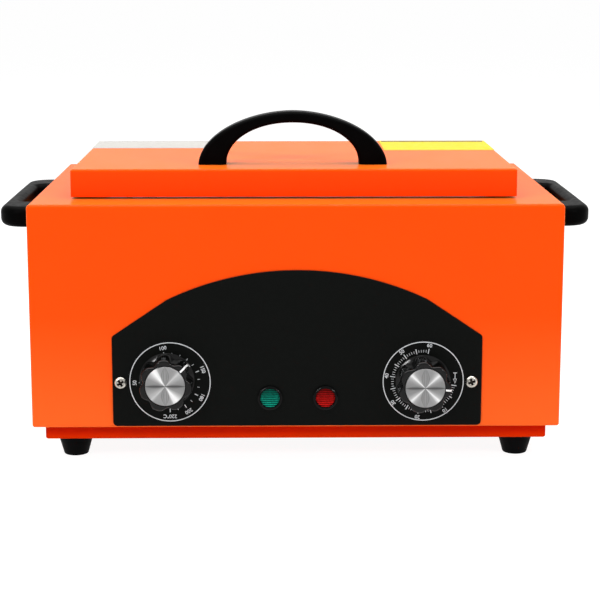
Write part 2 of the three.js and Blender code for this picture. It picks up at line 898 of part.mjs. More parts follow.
// Tank with its flange on top of the case, and the wool jacket round it
function tankForm() {
  const floorRadius = tankFloorRadius + tankSheet;
  const inside = quarterRound(tankSheet, tankBottomZ + tankSheet, tankFloorRadius, -1, cornerSteps);
  const outside = quarterRound(0, tankBottomZ, floorRadius, -1, cornerSteps);
  const tank = foldedForm(tankHalfX, tankHalfY, tankOuterRadius, [
    ...inside.reverse(),
    [tankSheet, tankFlangeTopZ],
    [-tankFlange, tankFlangeTopZ],
    [-tankFlange, caseHeight + seat],
    [0, caseHeight + seat],
    ...outside,
  ]);
  return tank.translate(0, lidMiddleY, 0);
}

function woolJacket() {
  const outer = clearance + woolThickness;
  const jacket = foldedForm(tankHalfX + outer, tankHalfY + outer, tankOuterRadius, [
    [woolThickness, woolFloorZ],
    [woolThickness, caseHeight - caseSheet - clearance],
    [0, caseHeight - caseSheet - clearance],
    [0, woolBottomZ],
  ]);
  jacket.translate(0, lidMiddleY, 0);
  const slot = heaterRadius + clearance * 2;
  const cutters = heaterEnds().map(([x, y]) => (
    boxBetween(x - slot, x + heaterBend, y - slot, y + slot, woolBottomZ - overrun, woolFloorZ + overrun)
  ));
  const pocket = bulbRadius + clearance;
  cutters.push(boxBetween(
    -bulbLength / 2 - clearance - capillaryRadius * 8,
    bulbLength / 2 + clearance,
    bulbY() - pocket,
    tankFrontY + overrun,
    bulbZ() - pocket,
    bulbZ() + pocket,
  ));
  const exit = capillaryRadius + clearance;
  cutters.push(cylinderBack(
    capillaryX(),
    bulbZ(),
    exit,
    tankFrontY - clearance - woolThickness - overrun,
    bulbY(),
    boltSteps,
  ));
  return cut(jacket, cutters);
}

function bulbY() {
  return tankFrontY - clearance - bulbRadius;
}

function bulbZ() {
  return caseHeight - bulbBelowTop;
}

function capillaryX() {
  return -bulbLength / 2 - capillaryRadius * 5;
}

addPart(body, 'chamber_tank', tankForm(), 'stainless');
addPart(body, 'tank_insulation', woolJacket(), 'wool');

// Heating element: a serpentine under the tank whose two ends turn down through the jacket
function heaterLegY(leg) {
  return lidMiddleY - heaterDepth / 2 + leg * heaterDepth / (heaterLegs - 1);
}

function heaterEnds() {
  return [
    [-heaterWidth / 2, heaterLegY(0)],
    [-heaterWidth / 2, heaterLegY(heaterLegs - 1)],
  ];
}

function heaterForm() {
  const corners = [];
  for (let leg = 0; leg < heaterLegs; leg += 1) {
    const [near, far] = leg % 2 === 0 ? [-1, 1] : [1, -1];
    corners.push(new THREE.Vector3(near * heaterWidth / 2, heaterLegY(leg), heaterZ));
    corners.push(new THREE.Vector3(far * heaterWidth / 2, heaterLegY(leg), heaterZ));
  }
  const tailZ = heaterZ - heaterTail;
  corners.unshift(corners[0].clone().setZ(tailZ));
  corners.push(corners[corners.length - 1].clone().setZ(tailZ));
  return tubeAlong(corners, heaterRadius, heaterBend);
}

addPart(body, 'heating_element', heaterForm(), 'stainless');

// Thermostat bulb on the tank's front wall, with its capillary down to the thermostat
function bulbForm() {
  const bulb = cylinderAcross(bulbY(), bulbZ(), bulbRadius, -bulbLength / 2, bulbLength / 2, boltSteps);
  const outY = tankFrontY - clearance - woolThickness;
  const backY = bodyFrontY + thermostatBodyDepth / 2;
  const topZ = thermostatZ + thermostatHeight / 2 + seat;
  const capillary = tubeAlong([
    new THREE.Vector3(-bulbLength / 2 + overrun, bulbY(), bulbZ()),
    new THREE.Vector3(capillaryX(), bulbY(), bulbZ()),
    new THREE.Vector3(capillaryX(), (outY + backY) / 2, bulbZ()),
    new THREE.Vector3(thermostatX, (outY + backY) / 2, (bulbZ() + topZ) / 2),
    new THREE.Vector3(thermostatX, backY, topZ + bulbRadius * 4),
    new THREE.Vector3(thermostatX, backY, topZ),
  ], capillaryRadius, capillaryRadius * 4);
  return joined(bulb, capillary);
}

addPart(body, 'thermostat_bulb', bulbForm(), 'copper');

// Hinge: a fixed leaf on the case top, a leaf on the lid's rear wall, and their pin
function knuckle(index) {
  const pitch = hingeLength / hingeKnuckles;
  const left = -hingeLength / 2 + index * pitch + clearance / 2;
  return [left, left + pitch - clearance];
}

function hingeLeafForm(parity, plate, tab) {
  const pieces = [plate];
  for (let index = parity; index < hingeKnuckles; index += 2) {
    const [left, right] = knuckle(index);
    pieces.push(cylinderAcross(0, 0, hingeKnuckleRadius, left, right, holeSteps));
    pieces.push(tab(left, right));
  }
  const whole = joined(...pieces);
  const bore = hingePinRadius + clearance;
  return cut(whole, [cylinderAcross(0, 0, bore, -hingeLength, hingeLength, boltSteps)]);
}

const hinge = new THREE.Group();
hinge.position.set(0, hingeY, hingeZ);
body.add(hinge);

const leafLow = -hingeKnuckleRadius;
const leafStart = hingeKnuckleRadius + clearance * 2;
const fixedPlate = boxBetween(
  -hingeLength / 2,
  hingeLength / 2,
  leafStart,
  hingeFixedReach,
  leafLow,
  leafLow + hingeLeaf,
);
const lidPlate = boxBetween(
  -hingeLength / 2,
  hingeLength / 2,
  leafLow,
  leafLow + hingeLeaf,
  leafStart,
  hingeLidReach,
);
const pinHalf = hingeLength / 2;
addPart(hinge, 'hinge_leaf_fixed', hingeLeafForm(0, fixedPlate, (left, right) => (
  boxBetween(left, right, hingePinRadius + clearance, leafStart + seat, leafLow, leafLow + hingeLeaf)
)), 'plated');
addPart(hinge, 'hinge_leaf_lid', hingeLeafForm(1, lidPlate, (left, right) => (
  boxBetween(left, right, leafLow, leafLow + hingeLeaf, hingePinRadius + clearance, leafStart + seat)
)), 'plated');
addPart(hinge, 'hinge_pin', cylinderAcross(0, 0, hingePinRadius, -pinHalf, pinHalf, boltSteps), 'plated');

// Lid, built in its own frame: zero is at the middle of its lower edge
const lid = new THREE.Group();
lid.position.set(lidShift, lidMiddleY, lidBottomZ);
body.add(lid);

function lidShell() {
  const innerRound = lidTopRadius - lidSheet;
  const shell = foldedForm(lidHalf, lidDepth / 2, lidCornerRadius, [
    [lidSheet + innerRound, lidHeight - lidSheet],
    [lidSheet, lidHeight - lidTopRadius],
    [lidSheet, 0],
    [0, 0],
    ...quarterRound(0, lidHeight, lidTopRadius, 1, cornerSteps),
  ]);
  return cut(shell, [-1, 1].map((side) => (
    cylinderUp(handleScrew.shank + clearance, lidHeight - lidSheet - overrun, lidHeight + overrun, holeSteps)
      .translate(handleShift + side * handleScrewX, handleSetback - lidMiddleY, 0)
  )));
}

function lidLiner() {
  const low = linerBottomZ - lidBottomZ;
  const half = lidHalf - lidSheet - clearance;
  const halfY = lidDepth / 2 - lidSheet - clearance;
  return foldedForm(half, halfY, lidCornerRadius, [
    [linerSheet, low + linerSheet],
    [linerSheet, low + linerRim],
    [0, low + linerRim],
    [0, low],
  ]);
}

function lidWool() {
  const low = linerTopZ - lidBottomZ + seat;
  const high = lidHeight - lidSheet - clearance;
  const inset = lidSheet + linerSheet + clearance * 2;
  const slab = foldedForm(lidHalf - inset, lidDepth / 2 - inset, lidCornerRadius, [[0, low], [0, high]]);
  const pocket = handleScrew.head + clearance;
  return cut(slab, [-1, 1].map((side) => (
    cylinderUp(pocket, high - handleScrew.rise - clearance, high + overrun, holeSteps)
      .translate(handleShift + side * handleScrewX, handleSetback - lidMiddleY, 0)
  )));
}

function lidSeal() {
  const inner = sealOffset;
  const outerX = tankHalfX + inner + sealWidth;
  const outerY = tankHalfY + inner + sealWidth;
  const low = tankFlangeTopZ + clearance - lidBottomZ;
  return foldedForm(outerX, outerY, tankOuterRadius + sealWidth, [
    [0, low],
    [0, low + sealHeight],
    [sealWidth, low + sealHeight],
    [sealWidth, low],
  ], true);
}

addPart(lid, 'lid_shell', lidShell(), 'orangePaint');
addPart(lid, 'lid_liner', lidLiner(), 'stainless');
addPart(lid, 'lid_insulation', lidWool(), 'wool');
addPart(lid, 'lid_seal', lidSeal(), 'silicone');

// Upper half of a fuller or slimmer ellipse, running from the side named by `sign`
function halfArch(halfWidth, height, share, sign) {
  const points = [];
  for (let step = 0; step <= roundSteps; step += 1) {
    const angle = (step / roundSteps) * Math.PI;
    const across = Math.sign(Math.cos(angle)) * Math.abs(Math.cos(angle)) ** share;
    const up = Math.abs(Math.sin(angle)) ** share;
    points.push(new THREE.Vector2(sign * halfWidth * across, height * up));
  }
  return points;
}

// Lid handle: an arch between two half arches, rounded along its edges
function lidHandle() {
  const outerHalf = handleWidth / 2;
  const innerHalf = outerHalf - handleFootWidth;
  const innerHeight = handleHeight - handleTopThickness;
  const buried = handleEdgeRadius * 2;
  const outline = new THREE.Shape([
    new THREE.Vector2(-outerHalf, -buried),
    ...halfArch(outerHalf, handleHeight, archOuterShare, -1),
    new THREE.Vector2(outerHalf, -buried),
    new THREE.Vector2(innerHalf, -buried),
    ...halfArch(innerHalf, innerHeight, archInnerShare, 1),
    new THREE.Vector2(-innerHalf, -buried),
  ]);
  const arch = new THREE.ExtrudeGeometry(outline, {
    depth: handleDepth - handleEdgeRadius * 2,
    bevelThickness: handleEdgeRadius,
    bevelSize: handleEdgeRadius,
    bevelOffset: -handleEdgeRadius,
    bevelSegments: edgeSteps,
  });
  arch.translate(0, 0, handleEdgeRadius - handleDepth / 2).rotateX(Math.PI / 2);
  const below = boxBetween(-handleWidth, handleWidth, -handleDepth, handleDepth, -handleHeight, seat);
  const cutters = [below];
  for (const side of [-1, 1]) {
    const depth = handleScrew.length + clearance;
    const hole = cylinderUp(handleScrew.shank + clearance, -overrun, depth, holeSteps);
    cutters.push(hole.translate(side * handleScrewX, 0, 0));
  }
  return cut(arch, cutters);
}

const handle = new THREE.Group();
handle.position.set(handleShift, handleSetback - lidMiddleY, lidHeight);
lid.add(handle);
addPart(handle, 'lid_handle', lidHandle(), 'blackMoulding');
for (const [sideName, side] of [['left', -1], ['right', 1]]) {
  const bolt = addPart(handle, `lid_handle_screw_${sideName}`, screwForm(handleScrew), 'plated');
  bolt.position.set(side * handleScrewX, 0, -lidSheet - seat);
  bolt.rotation.x = Math.PI;
}

// Mains inlet: a flanged socket with three flat pins
function inletPin(x, z) {
  const low = -inletSocketDepth - overrun / 2;
  return boxBetween(
    x - inletPinWidth / 2,
    x + inletPinWidth / 2,
    z - inletPinHeight / 2,
    z + inletPinHeight / 2,
    low,
    inletPinReach - inletSocketDepth,
  );
}

function mainsInlet() {
  const flange = foldedForm(inletFlangeWidth / 2, inletFlangeHeight / 2, inletCornerRadius, [
    [0, seat],
    [0, seat + inletFlange],
  ]);
  const housing = boxBetween(
    -inletWidth / 2,
    inletWidth / 2,
    -inletHeight / 2,
    inletHeight / 2,
    -inletDepth,
    seat + inletFlange / 2,
  );
  const socket = boxBetween(
    -inletSocketWidth / 2,
    inletSocketWidth / 2,
    -inletSocketHeight / 2,
    inletSocketHeight / 2,
    -inletSocketDepth,
    inletFlange + overrun,
  );
  const holes = [-1, 1].map((side) => (
    cylinderUp(inletScrew.shank + clearance, -overrun, inletFlange + overrun, holeSteps)
      .translate(side * inletScrewSpacing / 2, 0, 0)
  ));
  const shell = cut(joined(flange, housing), [socket, ...holes]);
  return joined(
    shell,
    inletPin(-inletPinSpacing / 2, 0),
    inletPin(inletPinSpacing / 2, 0),
    inletPin(0, inletEarthRise),
  );
}

const rear = new THREE.Group();
rear.position.set(inletX, caseDepth, inletZ);
rear.rotation.set(-Math.PI / 2, 0, 0);
body.add(rear);
addPart(rear, 'mains_inlet', mainsInlet(), 'blackMoulding');
for (const [sideName, side] of [['left', -1], ['right', 1]]) {
  const bolt = addPart(rear, `inlet_screw_${sideName}`, screwForm(inletScrew), 'plated');
  bolt.position.set(side * inletScrewSpacing / 2, 0, inletFlange + seat * 2);
}

// Instrument tray: a shallow pan with drain holes, and two ears at each end for its bails
function trayForm() {
  const inside = quarterRound(trayLip + traySheet, trayFloorZ + traySheet, trayFloorRadius, -1, cornerSteps);
  const outside = quarterRound(trayLip, trayFloorZ, trayFloorRadius + traySheet, -1, cornerSteps);
  const pan = foldedForm(trayHalfX, trayHalfY, trayCornerRadius, [
    ...inside.reverse(),
    [trayLip + traySheet, trayRimZ],
    [0, trayRimZ],
    [0, trayRimZ - traySheet],
    [trayLip, trayRimZ - traySheet],
    ...outside,
  ]);
  const ears = [];
  for (const side of [-1, 1]) {
    for (const end of [-1, 1]) {
      const wall = trayHalfX - trayLip - traySheet / 2;
      const [left, right] = side > 0 ? [wall - earLength, wall] : [-wall, earLength - wall];
      const earY = end * earSpacing / 2;
      ears.push(boxBetween(
        left,
        right,
        earY - earThickness / 2,
        earY + earThickness / 2,
        trayRimZ - earLength,
        trayRimZ + earRise,
      ));
    }
  }
  const cutters = [];
  for (let column = 0; column < trayHoleColumns; column += 1) {
    for (let row = 0; row < trayHoleRows; row += 1) {
      const hole = cylinderUp(trayHoleRadius, trayFloorZ - overrun, trayFloorZ + overrun, tubeSides);
      const holeX = (column - (trayHoleColumns - 1) / 2) * trayHolePitch;
      const holeY = (row - (trayHoleRows - 1) / 2) * trayHolePitch;
      cutters.push(hole.translate(holeX, holeY, 0));
    }
  }
  for (const side of [-1, 1]) {
    const bore = bailRadius + clearance;
    cutters.push(cylinderBack(side * bailPivotX, bailPivotZ, bore, -earSpacing, earSpacing, boltSteps));
  }
  return cut(joined(pan, ...ears), cutters).translate(0, lidMiddleY, 0);
}

// Wire bail lying flat, pointing at the middle of the tray, with its ends turned out through the ears
function bailForm(side) {
  const legY = earSpacing / 2 - earThickness / 2 - clearance - bailRadius;
  const endY = earSpacing / 2 + earThickness / 2 + bailRadius;
  const tip = -side * bailReach;
  return tubeAlong([
    new THREE.Vector3(0, -endY, 0),
    new THREE.Vector3(0, -legY, 0),
    new THREE.Vector3(tip, -legY, 0),
    new THREE.Vector3(tip, legY, 0),
    new THREE.Vector3(0, legY, 0),
    new THREE.Vector3(0, endY, 0),
  ], bailRadius, bailCornerRadius);
}

addPart(body, 'instrument_tray', trayForm(), 'stainless');
for (const [sideName, side] of [['left', -1], ['right', 1]]) {
  const bail = addPart(body, `tray_bail_${sideName}`, bailForm(side), 'stainless');
  bail.position.set(side * bailPivotX, lidMiddleY, bailPivotZ);
}

// Wires along the floor of the pan: inlet to thermostat, thermostat to timer, timer to heater and back
const wireZ = panSheet - panDrop + wireFloorRise;
const wireUpperZ = wireZ + wireRadius * 4;
const regulatorY = bodyFrontY + thermostatBodyDepth + clearance;
const timerY = bodyFrontY + timerBodyDepth + clearance;
const inletBackY = caseDepth - inletDepth - clearance;
const heaterTailZ = heaterZ - heaterTail - clearance;

function wireForm(points) {
  return tubeAlong(points.map((point) => new THREE.Vector3(...point)), wireRadius, wireBend);
}

const [tailFront, tailRear] = heaterEnds();
const wireGap = wireRadius * 6;
addPart(body, 'wire_inlet_to_thermostat', wireForm([
  [inletX - wireGap, inletBackY, inletZ],
  [inletX - wireGap, inletBackY - wireBend * 2, inletZ],
  [inletX - wireGap, inletBackY - wireBend * 2, wireZ],
  [thermostatX - wireGap, inletBackY - wireBend * 2, wireZ],
  [thermostatX - wireGap, regulatorY + wireBend * 2, wireZ],
  [thermostatX - wireGap, regulatorY + wireBend * 2, thermostatZ],
  [thermostatX - wireGap, regulatorY, thermostatZ],
]), 'brownWire');
addPart(body, 'wire_thermostat_to_timer', wireForm([
  [thermostatX + wireGap, regulatorY, thermostatZ],
  [thermostatX + wireGap, regulatorY + wireBend * 2, thermostatZ],
  [thermostatX + wireGap, regulatorY + wireBend * 2, wireZ],
  [timerX - wireGap, regulatorY + wireBend * 2, wireZ],
  [timerX - wireGap, regulatorY + wireBend * 2, timerZ],
  [timerX - wireGap, timerY, timerZ],
]), 'brownWire');
addPart(body, 'wire_timer_to_heater', wireForm([
  [timerX + wireGap, timerY, timerZ],
  [timerX + wireGap, timerY + wireBend * 2, timerZ],
  [timerX + wireGap, timerY + wireBend * 2, wireUpperZ],
  [tailFront[0], timerY + wireBend * 2, wireUpperZ],
  [tailFront[0], tailFront[1], wireUpperZ],
  [tailFront[0], tailFront[1], heaterTailZ],
]), 'brownWire');
addPart(body, 'wire_heater_to_inlet', wireForm([
  [tailRear[0], tailRear[1], heaterTailZ],
  [tailRear[0], tailRear[1], wireUpperZ],
  [inletX + wireGap, tailRear[1], wireUpperZ],
  [inletX + wireGap, inletBackY - wireBend, wireUpperZ + wireBend],
  [inletX + wireGap, inletBackY - wireBend, inletZ],
  [inletX + wireGap, inletBackY, inletZ],
]), 'blueWire');

export default sterilizer;
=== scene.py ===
"""Looks of a bench-top dry heat sterilizer: fine surfaces, finishes, light and camera, in metres."""
import json
import math

import bmesh
import bpy
from mathutils import Matrix, Vector

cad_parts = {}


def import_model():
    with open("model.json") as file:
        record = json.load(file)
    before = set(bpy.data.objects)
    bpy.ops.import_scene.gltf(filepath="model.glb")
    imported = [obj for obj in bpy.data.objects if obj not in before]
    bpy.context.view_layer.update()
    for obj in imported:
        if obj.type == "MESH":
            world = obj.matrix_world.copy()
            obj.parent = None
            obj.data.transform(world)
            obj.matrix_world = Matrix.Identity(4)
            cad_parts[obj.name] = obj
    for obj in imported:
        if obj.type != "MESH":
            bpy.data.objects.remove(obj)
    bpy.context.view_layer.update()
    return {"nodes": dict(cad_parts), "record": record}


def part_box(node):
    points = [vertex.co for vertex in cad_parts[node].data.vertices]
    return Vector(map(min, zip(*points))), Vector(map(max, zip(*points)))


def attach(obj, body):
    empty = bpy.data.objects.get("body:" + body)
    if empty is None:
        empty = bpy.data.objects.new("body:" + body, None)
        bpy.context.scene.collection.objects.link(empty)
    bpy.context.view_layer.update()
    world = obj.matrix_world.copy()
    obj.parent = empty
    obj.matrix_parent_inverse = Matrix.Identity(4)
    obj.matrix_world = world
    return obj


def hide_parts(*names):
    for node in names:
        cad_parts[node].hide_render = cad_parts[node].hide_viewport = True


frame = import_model()

MM = 0.001
SIDES = ("left", "right")
CORNERS = [f"{end}_{side}" for side in SIDES for end in ("front", "rear")]

# Facets
CORNER_STEPS = 6
EDGE_STEPS = 5
ROUND_STEPS = 64
SMALL_STEPS = 28
SKIRT_STEPS = 4
LOBE_STEPS = 20
SLOT_END_STEPS = 8
ARCH_STEPS = 48
HANDLE_STEPS = 56
BEZEL_STEPS = 5
RIB_STEPS = 6
LENS_COLUMNS = 12
RIVET_STEPS = 20
ROD_SIDES = 14
DOME_STEPS = 8
BEND_STEPS = 6
EASE_STEPS = 4
BEVEL_STEPS = 3
TANK_FLOOR_STEPS = 8
TRAY_FLOOR_STEPS = 7
EAR_STEPS = 6
LIP_STEPS = 6
GRIP_EDGE_STEPS = 6
GRIP_CORNER_STEPS = 10
GRIP_BOW_STEPS = 24
GRIP_INNER_CORNER_STEPS = 8
GRIP_INNER_BOW_STEPS = 20

# Angles in degrees above which an edge stays sharp
SHEET_ANGLE = 32
GRIP_ANGLE = 26
BEZEL_ANGLE = 30
METAL_ANGLE = 40
ROUND_ANGLE = 50
ARCH_ANGLE = 60

# Gaps, lifts and least values
SEAT = 0.1 * MM
CLEARANCE = 0.3 * MM
OVERRUN = 2 * MM
PRINT_SINK = 0.02 * MM
PRINT_LIFT = 0.05 * MM
LEAST_RADIUS = 0.05 * MM
LEAST_MITRE = 0.3

# Screws: radius and rise of the head, radius and length of the shank, and the holes that clear them
PANEL_SCREW = (4 * MM, 2.4 * MM, 2 * MM, 8 * MM)
SMALL_SCREW = (2.9 * MM, 1.8 * MM, 1.45 * MM, 6 * MM)
INLET_SCREW = (2.9 * MM, 1.8 * MM, 1.45 * MM, 9 * MM)
FOOT_SCREW = (4 * MM, 2.4 * MM, 2 * MM, 14 * MM)
PANEL_SCREW_HOLE = 2 * MM
WIDE_SCREW_HOLE = 2.3 * MM
SMALL_SCREW_HOLE = 1.75 * MM
PANEL_SCREW_TURNS = {"left": 32, "right": 18}
SCREW_TIP_SHARE = 0.6
SCREW_POINT_SHARE = 0.5
HEAD_EDGE_SHARE = 0.3
DOME_START_SHARE = 0.35
DOME_START_ANGLE = 8
CROSS_ARM_SHARE = 0.62
CROSS_WIDTH_SHARE = 0.19
CROSS_DEPTH_SHARE = 0.85
CROSS_FLOOR_SHARE = 0.45
CROSS_MOUTH_SHARE = 1.15
CROSS_OVERRUN = 0.2 * MM

# Sheet metal
CASE_SHEET = 1.2 * MM
CASE_TOP_RADIUS = 2.5 * MM
CASE_CORNER_RADIUS = 1.6 * MM
CASE_FOLD_RADIUS = 1.8 * MM
CASE_RETURN = 20 * MM
PAN_SHEET = 1.2 * MM
PAN_FLANGE = 13 * MM
PAN_CORNER_RADIUS = 2 * MM
PAN_EDGE_RADIUS = 1.4 * MM
PAN_INNER_RADIUS = 0.2 * MM
PAN_TOP_RADIUS = 0.4 * MM
PAN_ACCESS_RADIUS = 4.5 * MM
VENT_LENGTH = 52 * MM
VENT_WIDTH = 4 * MM
VENT_PITCH = 13 * MM
VENT_GROUP_X = 62 * MM
VENTS_PER_GROUP = 5
LID_SHEET = 1 * MM
LID_TOP_RADIUS = 1.8 * MM
LID_CORNER_RADIUS = 1.2 * MM
LID_FOLD_RADIUS = 0.4 * MM
LINER_SHEET = 0.8 * MM
LINER_EDGE_RADIUS = 2 * MM

# Chamber
TANK_SHEET = 0.8 * MM
TANK_FLANGE = 8 * MM
TANK_CORNER_RADIUS = 10 * MM
TANK_FLOOR_RADIUS = 6 * MM
TANK_LIP_RADIUS = 1.2 * MM
SEAL_WIDTH = 6 * MM
SEAL_EDGE_RADIUS = 1.2 * MM
SEAL_BACK_RADIUS = 0.3 * MM
TRAY_SHEET = 0.7 * MM
TRAY_LIP = 3 * MM
TRAY_CORNER_RADIUS = 14 * MM
TRAY_FLOOR_RADIUS = 5 * MM
TRAY_HEIGHT = 22 * MM
TRAY_HOLE_RADIUS = 3 * MM
TRAY_HOLE_PITCH = 38 * MM
TRAY_HOLE_COLUMNS = 6
TRAY_HOLE_ROWS = 3
TRAY_RIM_EASE = 0.2 * MM
TRAY_RIM_ROUND = ((0, 0.4 * MM), (0.15 * MM, 0.1 * MM), (0.5 * MM, 0))
EAR_CORNER_RADIUS = 3 * MM
EAR_THICKNESS = 1.6 * MM
EAR_LENGTH = 9 * MM
EAR_SPACING = 64 * MM
BAIL_RADIUS = 1.5 * MM
BAIL_CORNER_RADIUS = 6 * MM

# Front panel
PANEL_SHOULDER = 60.8 * MM
PANEL_ARC_RADIUS = 197 * MM
PANEL_ARC_HALF = 86 * MM
PANEL_CORNER_RADIUS = 3 * MM
PANEL_SHOULDER_RADIUS = 1.5 * MM
PANEL_EDGE = 0.25 * MM

# Holes through the front, by the node in the middle of each
BUSH_RADIUS = 4.6 * MM
LAMP_BODY_RADIUS = 7.2 * MM
FRONT_HOLES = (
    ("temperature_knob_cap", BUSH_RADIUS),
    ("lamp_lens_left", LAMP_BODY_RADIUS),
    ("panel_screw_left", PANEL_SCREW_HOLE),
    ("timer_knob_cap", BUSH_RADIUS),
    ("lamp_lens_right", LAMP_BODY_RADIUS),
    ("panel_screw_right", PANEL_SCREW_HOLE),
)

# Knobs
KNOB_DISC_RADIUS = 18.2 * MM
KNOB_DISC_THICKNESS = 1.6 * MM
KNOB_LIFT = 0.8 * MM
KNOB_FOOT_RADIUS = 0.35 * MM
KNOB_FILLET = 0.25 * MM
KNOB_FILLET_STEPS = ((0.3, 0.7), (0, 1.6))
SKIRT_EDGE_RISE = 0.55 * MM
SKIRT_TOP_SLOPE = 0.5
SKIRT_EDGE_SLOPE = 0.66
KNOB_LOBE_RADIUS = 17.5 * MM
KNOB_FLUTE_DEPTH = 2.5 * MM
KNOB_LOBES = 7
KNOB_EDGE_RADIUS = 1.8 * MM
KNOB_HOLLOW_RADIUS = 9 * MM
KNOB_HOLLOW_DEPTH = 7 * MM
CAP_RADIUS = 13 * MM
CAP_PROUD = 0.5 * MM
CAP_THICKNESS = 1.6 * MM
CAP_BEVEL = 0.35 * MM
CAP_SEAT_CHAMFER = 0.3 * MM
SHAFT_RADIUS = 3 * MM
SHAFT_REACH = 15 * MM
POINTER_WIDTH = 1.25 * MM
POINTER_SLANT = -7
POINTER_STEPS = 8
POINTER_GAP = 0.5 * MM
TEMPERATURE_REST = 43.8
TIMER_REST = -6

# Dial print
RING_RADIUS = 26.9 * MM
RING_WIDTH = 0.58 * MM
PRINT_SHIFTS = {-1: 0.5 * MM, 1: 0.15 * MM}
FIGURE_SIZE = 3.5 * MM
FIGURE_BOLDNESS = 0.012
TEMPERATURE_LOW = 50
TEMPERATURE_HIGH = 220
TEMPERATURE_STEP = 10
TEMPERATURE_START = 178.8
DEGREES_PER_CELSIUS = 1.598
TEMPERATURE_FIGURES = (50, 100, 150, 180, 200, 220)
TEMPERATURE_FIGURE_RADIUS = 23.3 * MM
TIMER_END = 60
TIMER_START = 8
TIMER_LONG_STEP = 5
TIMER_FIGURE_STEP = 10
DEGREES_PER_MINUTE = 4.52
TIMER_FIGURE_RADIUS = 24.5 * MM
LONG_TICK = (18.9 * MM, 22.3 * MM)
SHORT_TICK = (19.6 * MM, 21.3 * MM)
TEMPERATURE_LONG_TICK = (18.2 * MM, 20.6 * MM)
TEMPERATURE_SHORT_TICK = (18.3 * MM, 19.8 * MM)
LONG_TICK_WIDTH = 0.58 * MM
SHORT_TICK_WIDTH = 0.3 * MM
ARROW_X = 21.1 * MM
ARROW_HALF_WIDTH = 1.25 * MM
ARROW_TIP = -1.7 * MM
ARROW_BASE = 1.6 * MM
ARROW_LINE = 0.3 * MM
ARROW_STEM = 0.25 * MM
ARROW_TOP = 5.4 * MM
ARROW_BAR = 0.5 * MM

# Lamps
LAMP_LENS_RADIUS = 6.35 * MM
LAMP_BEZEL_RADIUS = 8.15 * MM
LAMP_CROWN_RADIUS = 7 * MM
BEZEL_TOP_TILT = 24
BEZEL_EDGE_TILT = 38
LAMP_BEZEL_HEIGHT = 2.2 * MM
LAMP_BODY_LENGTH = 24 * MM
LAMP_CUP_DEPTH = 6 * MM
LENS_GAP = 0.15 * MM
LENS_CROWN = 0.5 * MM
RIB_PITCH = 1.45 * MM
RIB_DEPTH = 0.4 * MM

# Handles
LID_HANDLE_FOOT = 19 * MM
LID_HANDLE_TOP = 7.6 * MM
LID_HANDLE_EDGE = 3 * MM
FULLEST_EDGE = 0.98
ARCH_OUTER_SHARE = 1.07
ARCH_INNER_SHARE = 0.96
GRIP_END_REACH = 23.8 * MM
GRIP_MIDDLE_REACH = 23.95 * MM
GRIP_BAR = 11.2 * MM
GRIP_POST = 32 * MM
GRIP_CORNER_RADIUS = 17 * MM
GRIP_INNER_RADIUS = 7 * MM
GRIP_EDGE_RADIUS = 4.8 * MM

# Feet
FOOT_TOP_RADIUS = 12.2 * MM
FOOT_BOTTOM_RADIUS = 8.4 * MM
FOOT_EDGE_RADIUS = 1.2 * MM
FOOT_RECESS_RADIUS = 5 * MM
FOOT_RECESS_DEPTH = 8 * MM
FOOT_RECESS_EDGE = 0.3 * MM
FOOT_NECK_RADIUS = 0.5 * MM

# Hinge
HINGE_KNUCKLES = 7
HINGE_KNUCKLE_RADIUS = 3 * MM
HINGE_PIN_RADIUS = 1.5 * MM
HINGE_LEAF = 1.2 * MM
RIVET_RADIUS = 2 * MM
RIVET_RISE = 0.7 * MM
RIVET_SINK = 0.2 * MM
RIVET_SHIFT = 0.4 * MM
RIVET_MARGIN = 1.2 * MM

# Mains inlet
INLET_FLANGE = 2.6 * MM
INLET_EDGE_RADIUS = 0.6 * MM
INLET_CORNER_RADIUS = 4 * MM
INLET_SOCKET_WIDTH = 22.8 * MM
INLET_SOCKET_HEIGHT = 15.8 * MM
INLET_SOCKET_DEPTH = 17 * MM
INLET_SOCKET_CHAMFER = 4 * MM
INLET_BODY_WIDTH = 27 * MM
INLET_BODY_HEIGHT = 20 * MM
INLET_PIN_WIDTH = 2 * MM
INLET_PIN_HEIGHT = 4 * MM
INLET_PIN_REACH = 13 * MM
INLET_PIN_SPACING = 14 * MM
INLET_EARTH_DROP = 4 * MM
INLET_PIN_ROOT = 0.5 * MM
INLET_PIN_TAPER = 1 * MM
INLET_PIN_TIP_SHARE = 0.6
INLET_PIN_RADIUS = 0.3 * MM

# Heights between which the paint turns lighter towards the foot: painted light from the floor on the
# case, and on the pan painted shade above a lighter foot
CASE_PAINTED_FLOOR_LIGHT = (25 * MM, 100 * MM)
PAN_PAINTED_SHADE = (14 * MM, 20 * MM)

# Labels on the lid
LABEL_MARGIN = 0.6 * MM
LABEL_THICKNESS = 0.12 * MM
LABEL_CORNER_RADIUS = 1.5 * MM
WHITE_LABEL_WIDTH = 86 * MM
WHITE_LABEL_DEPTH = 53 * MM
YELLOW_LABEL_WIDTH = 81 * MM
YELLOW_LABEL_DEPTH = 69 * MM
YELLOW_BAND_DEPTH = 8 * MM
YELLOW_BAND_MARGIN = 1.5 * MM
LABEL_RULE = 0.6 * MM
LABEL_RULE_MARGIN = 4 * MM
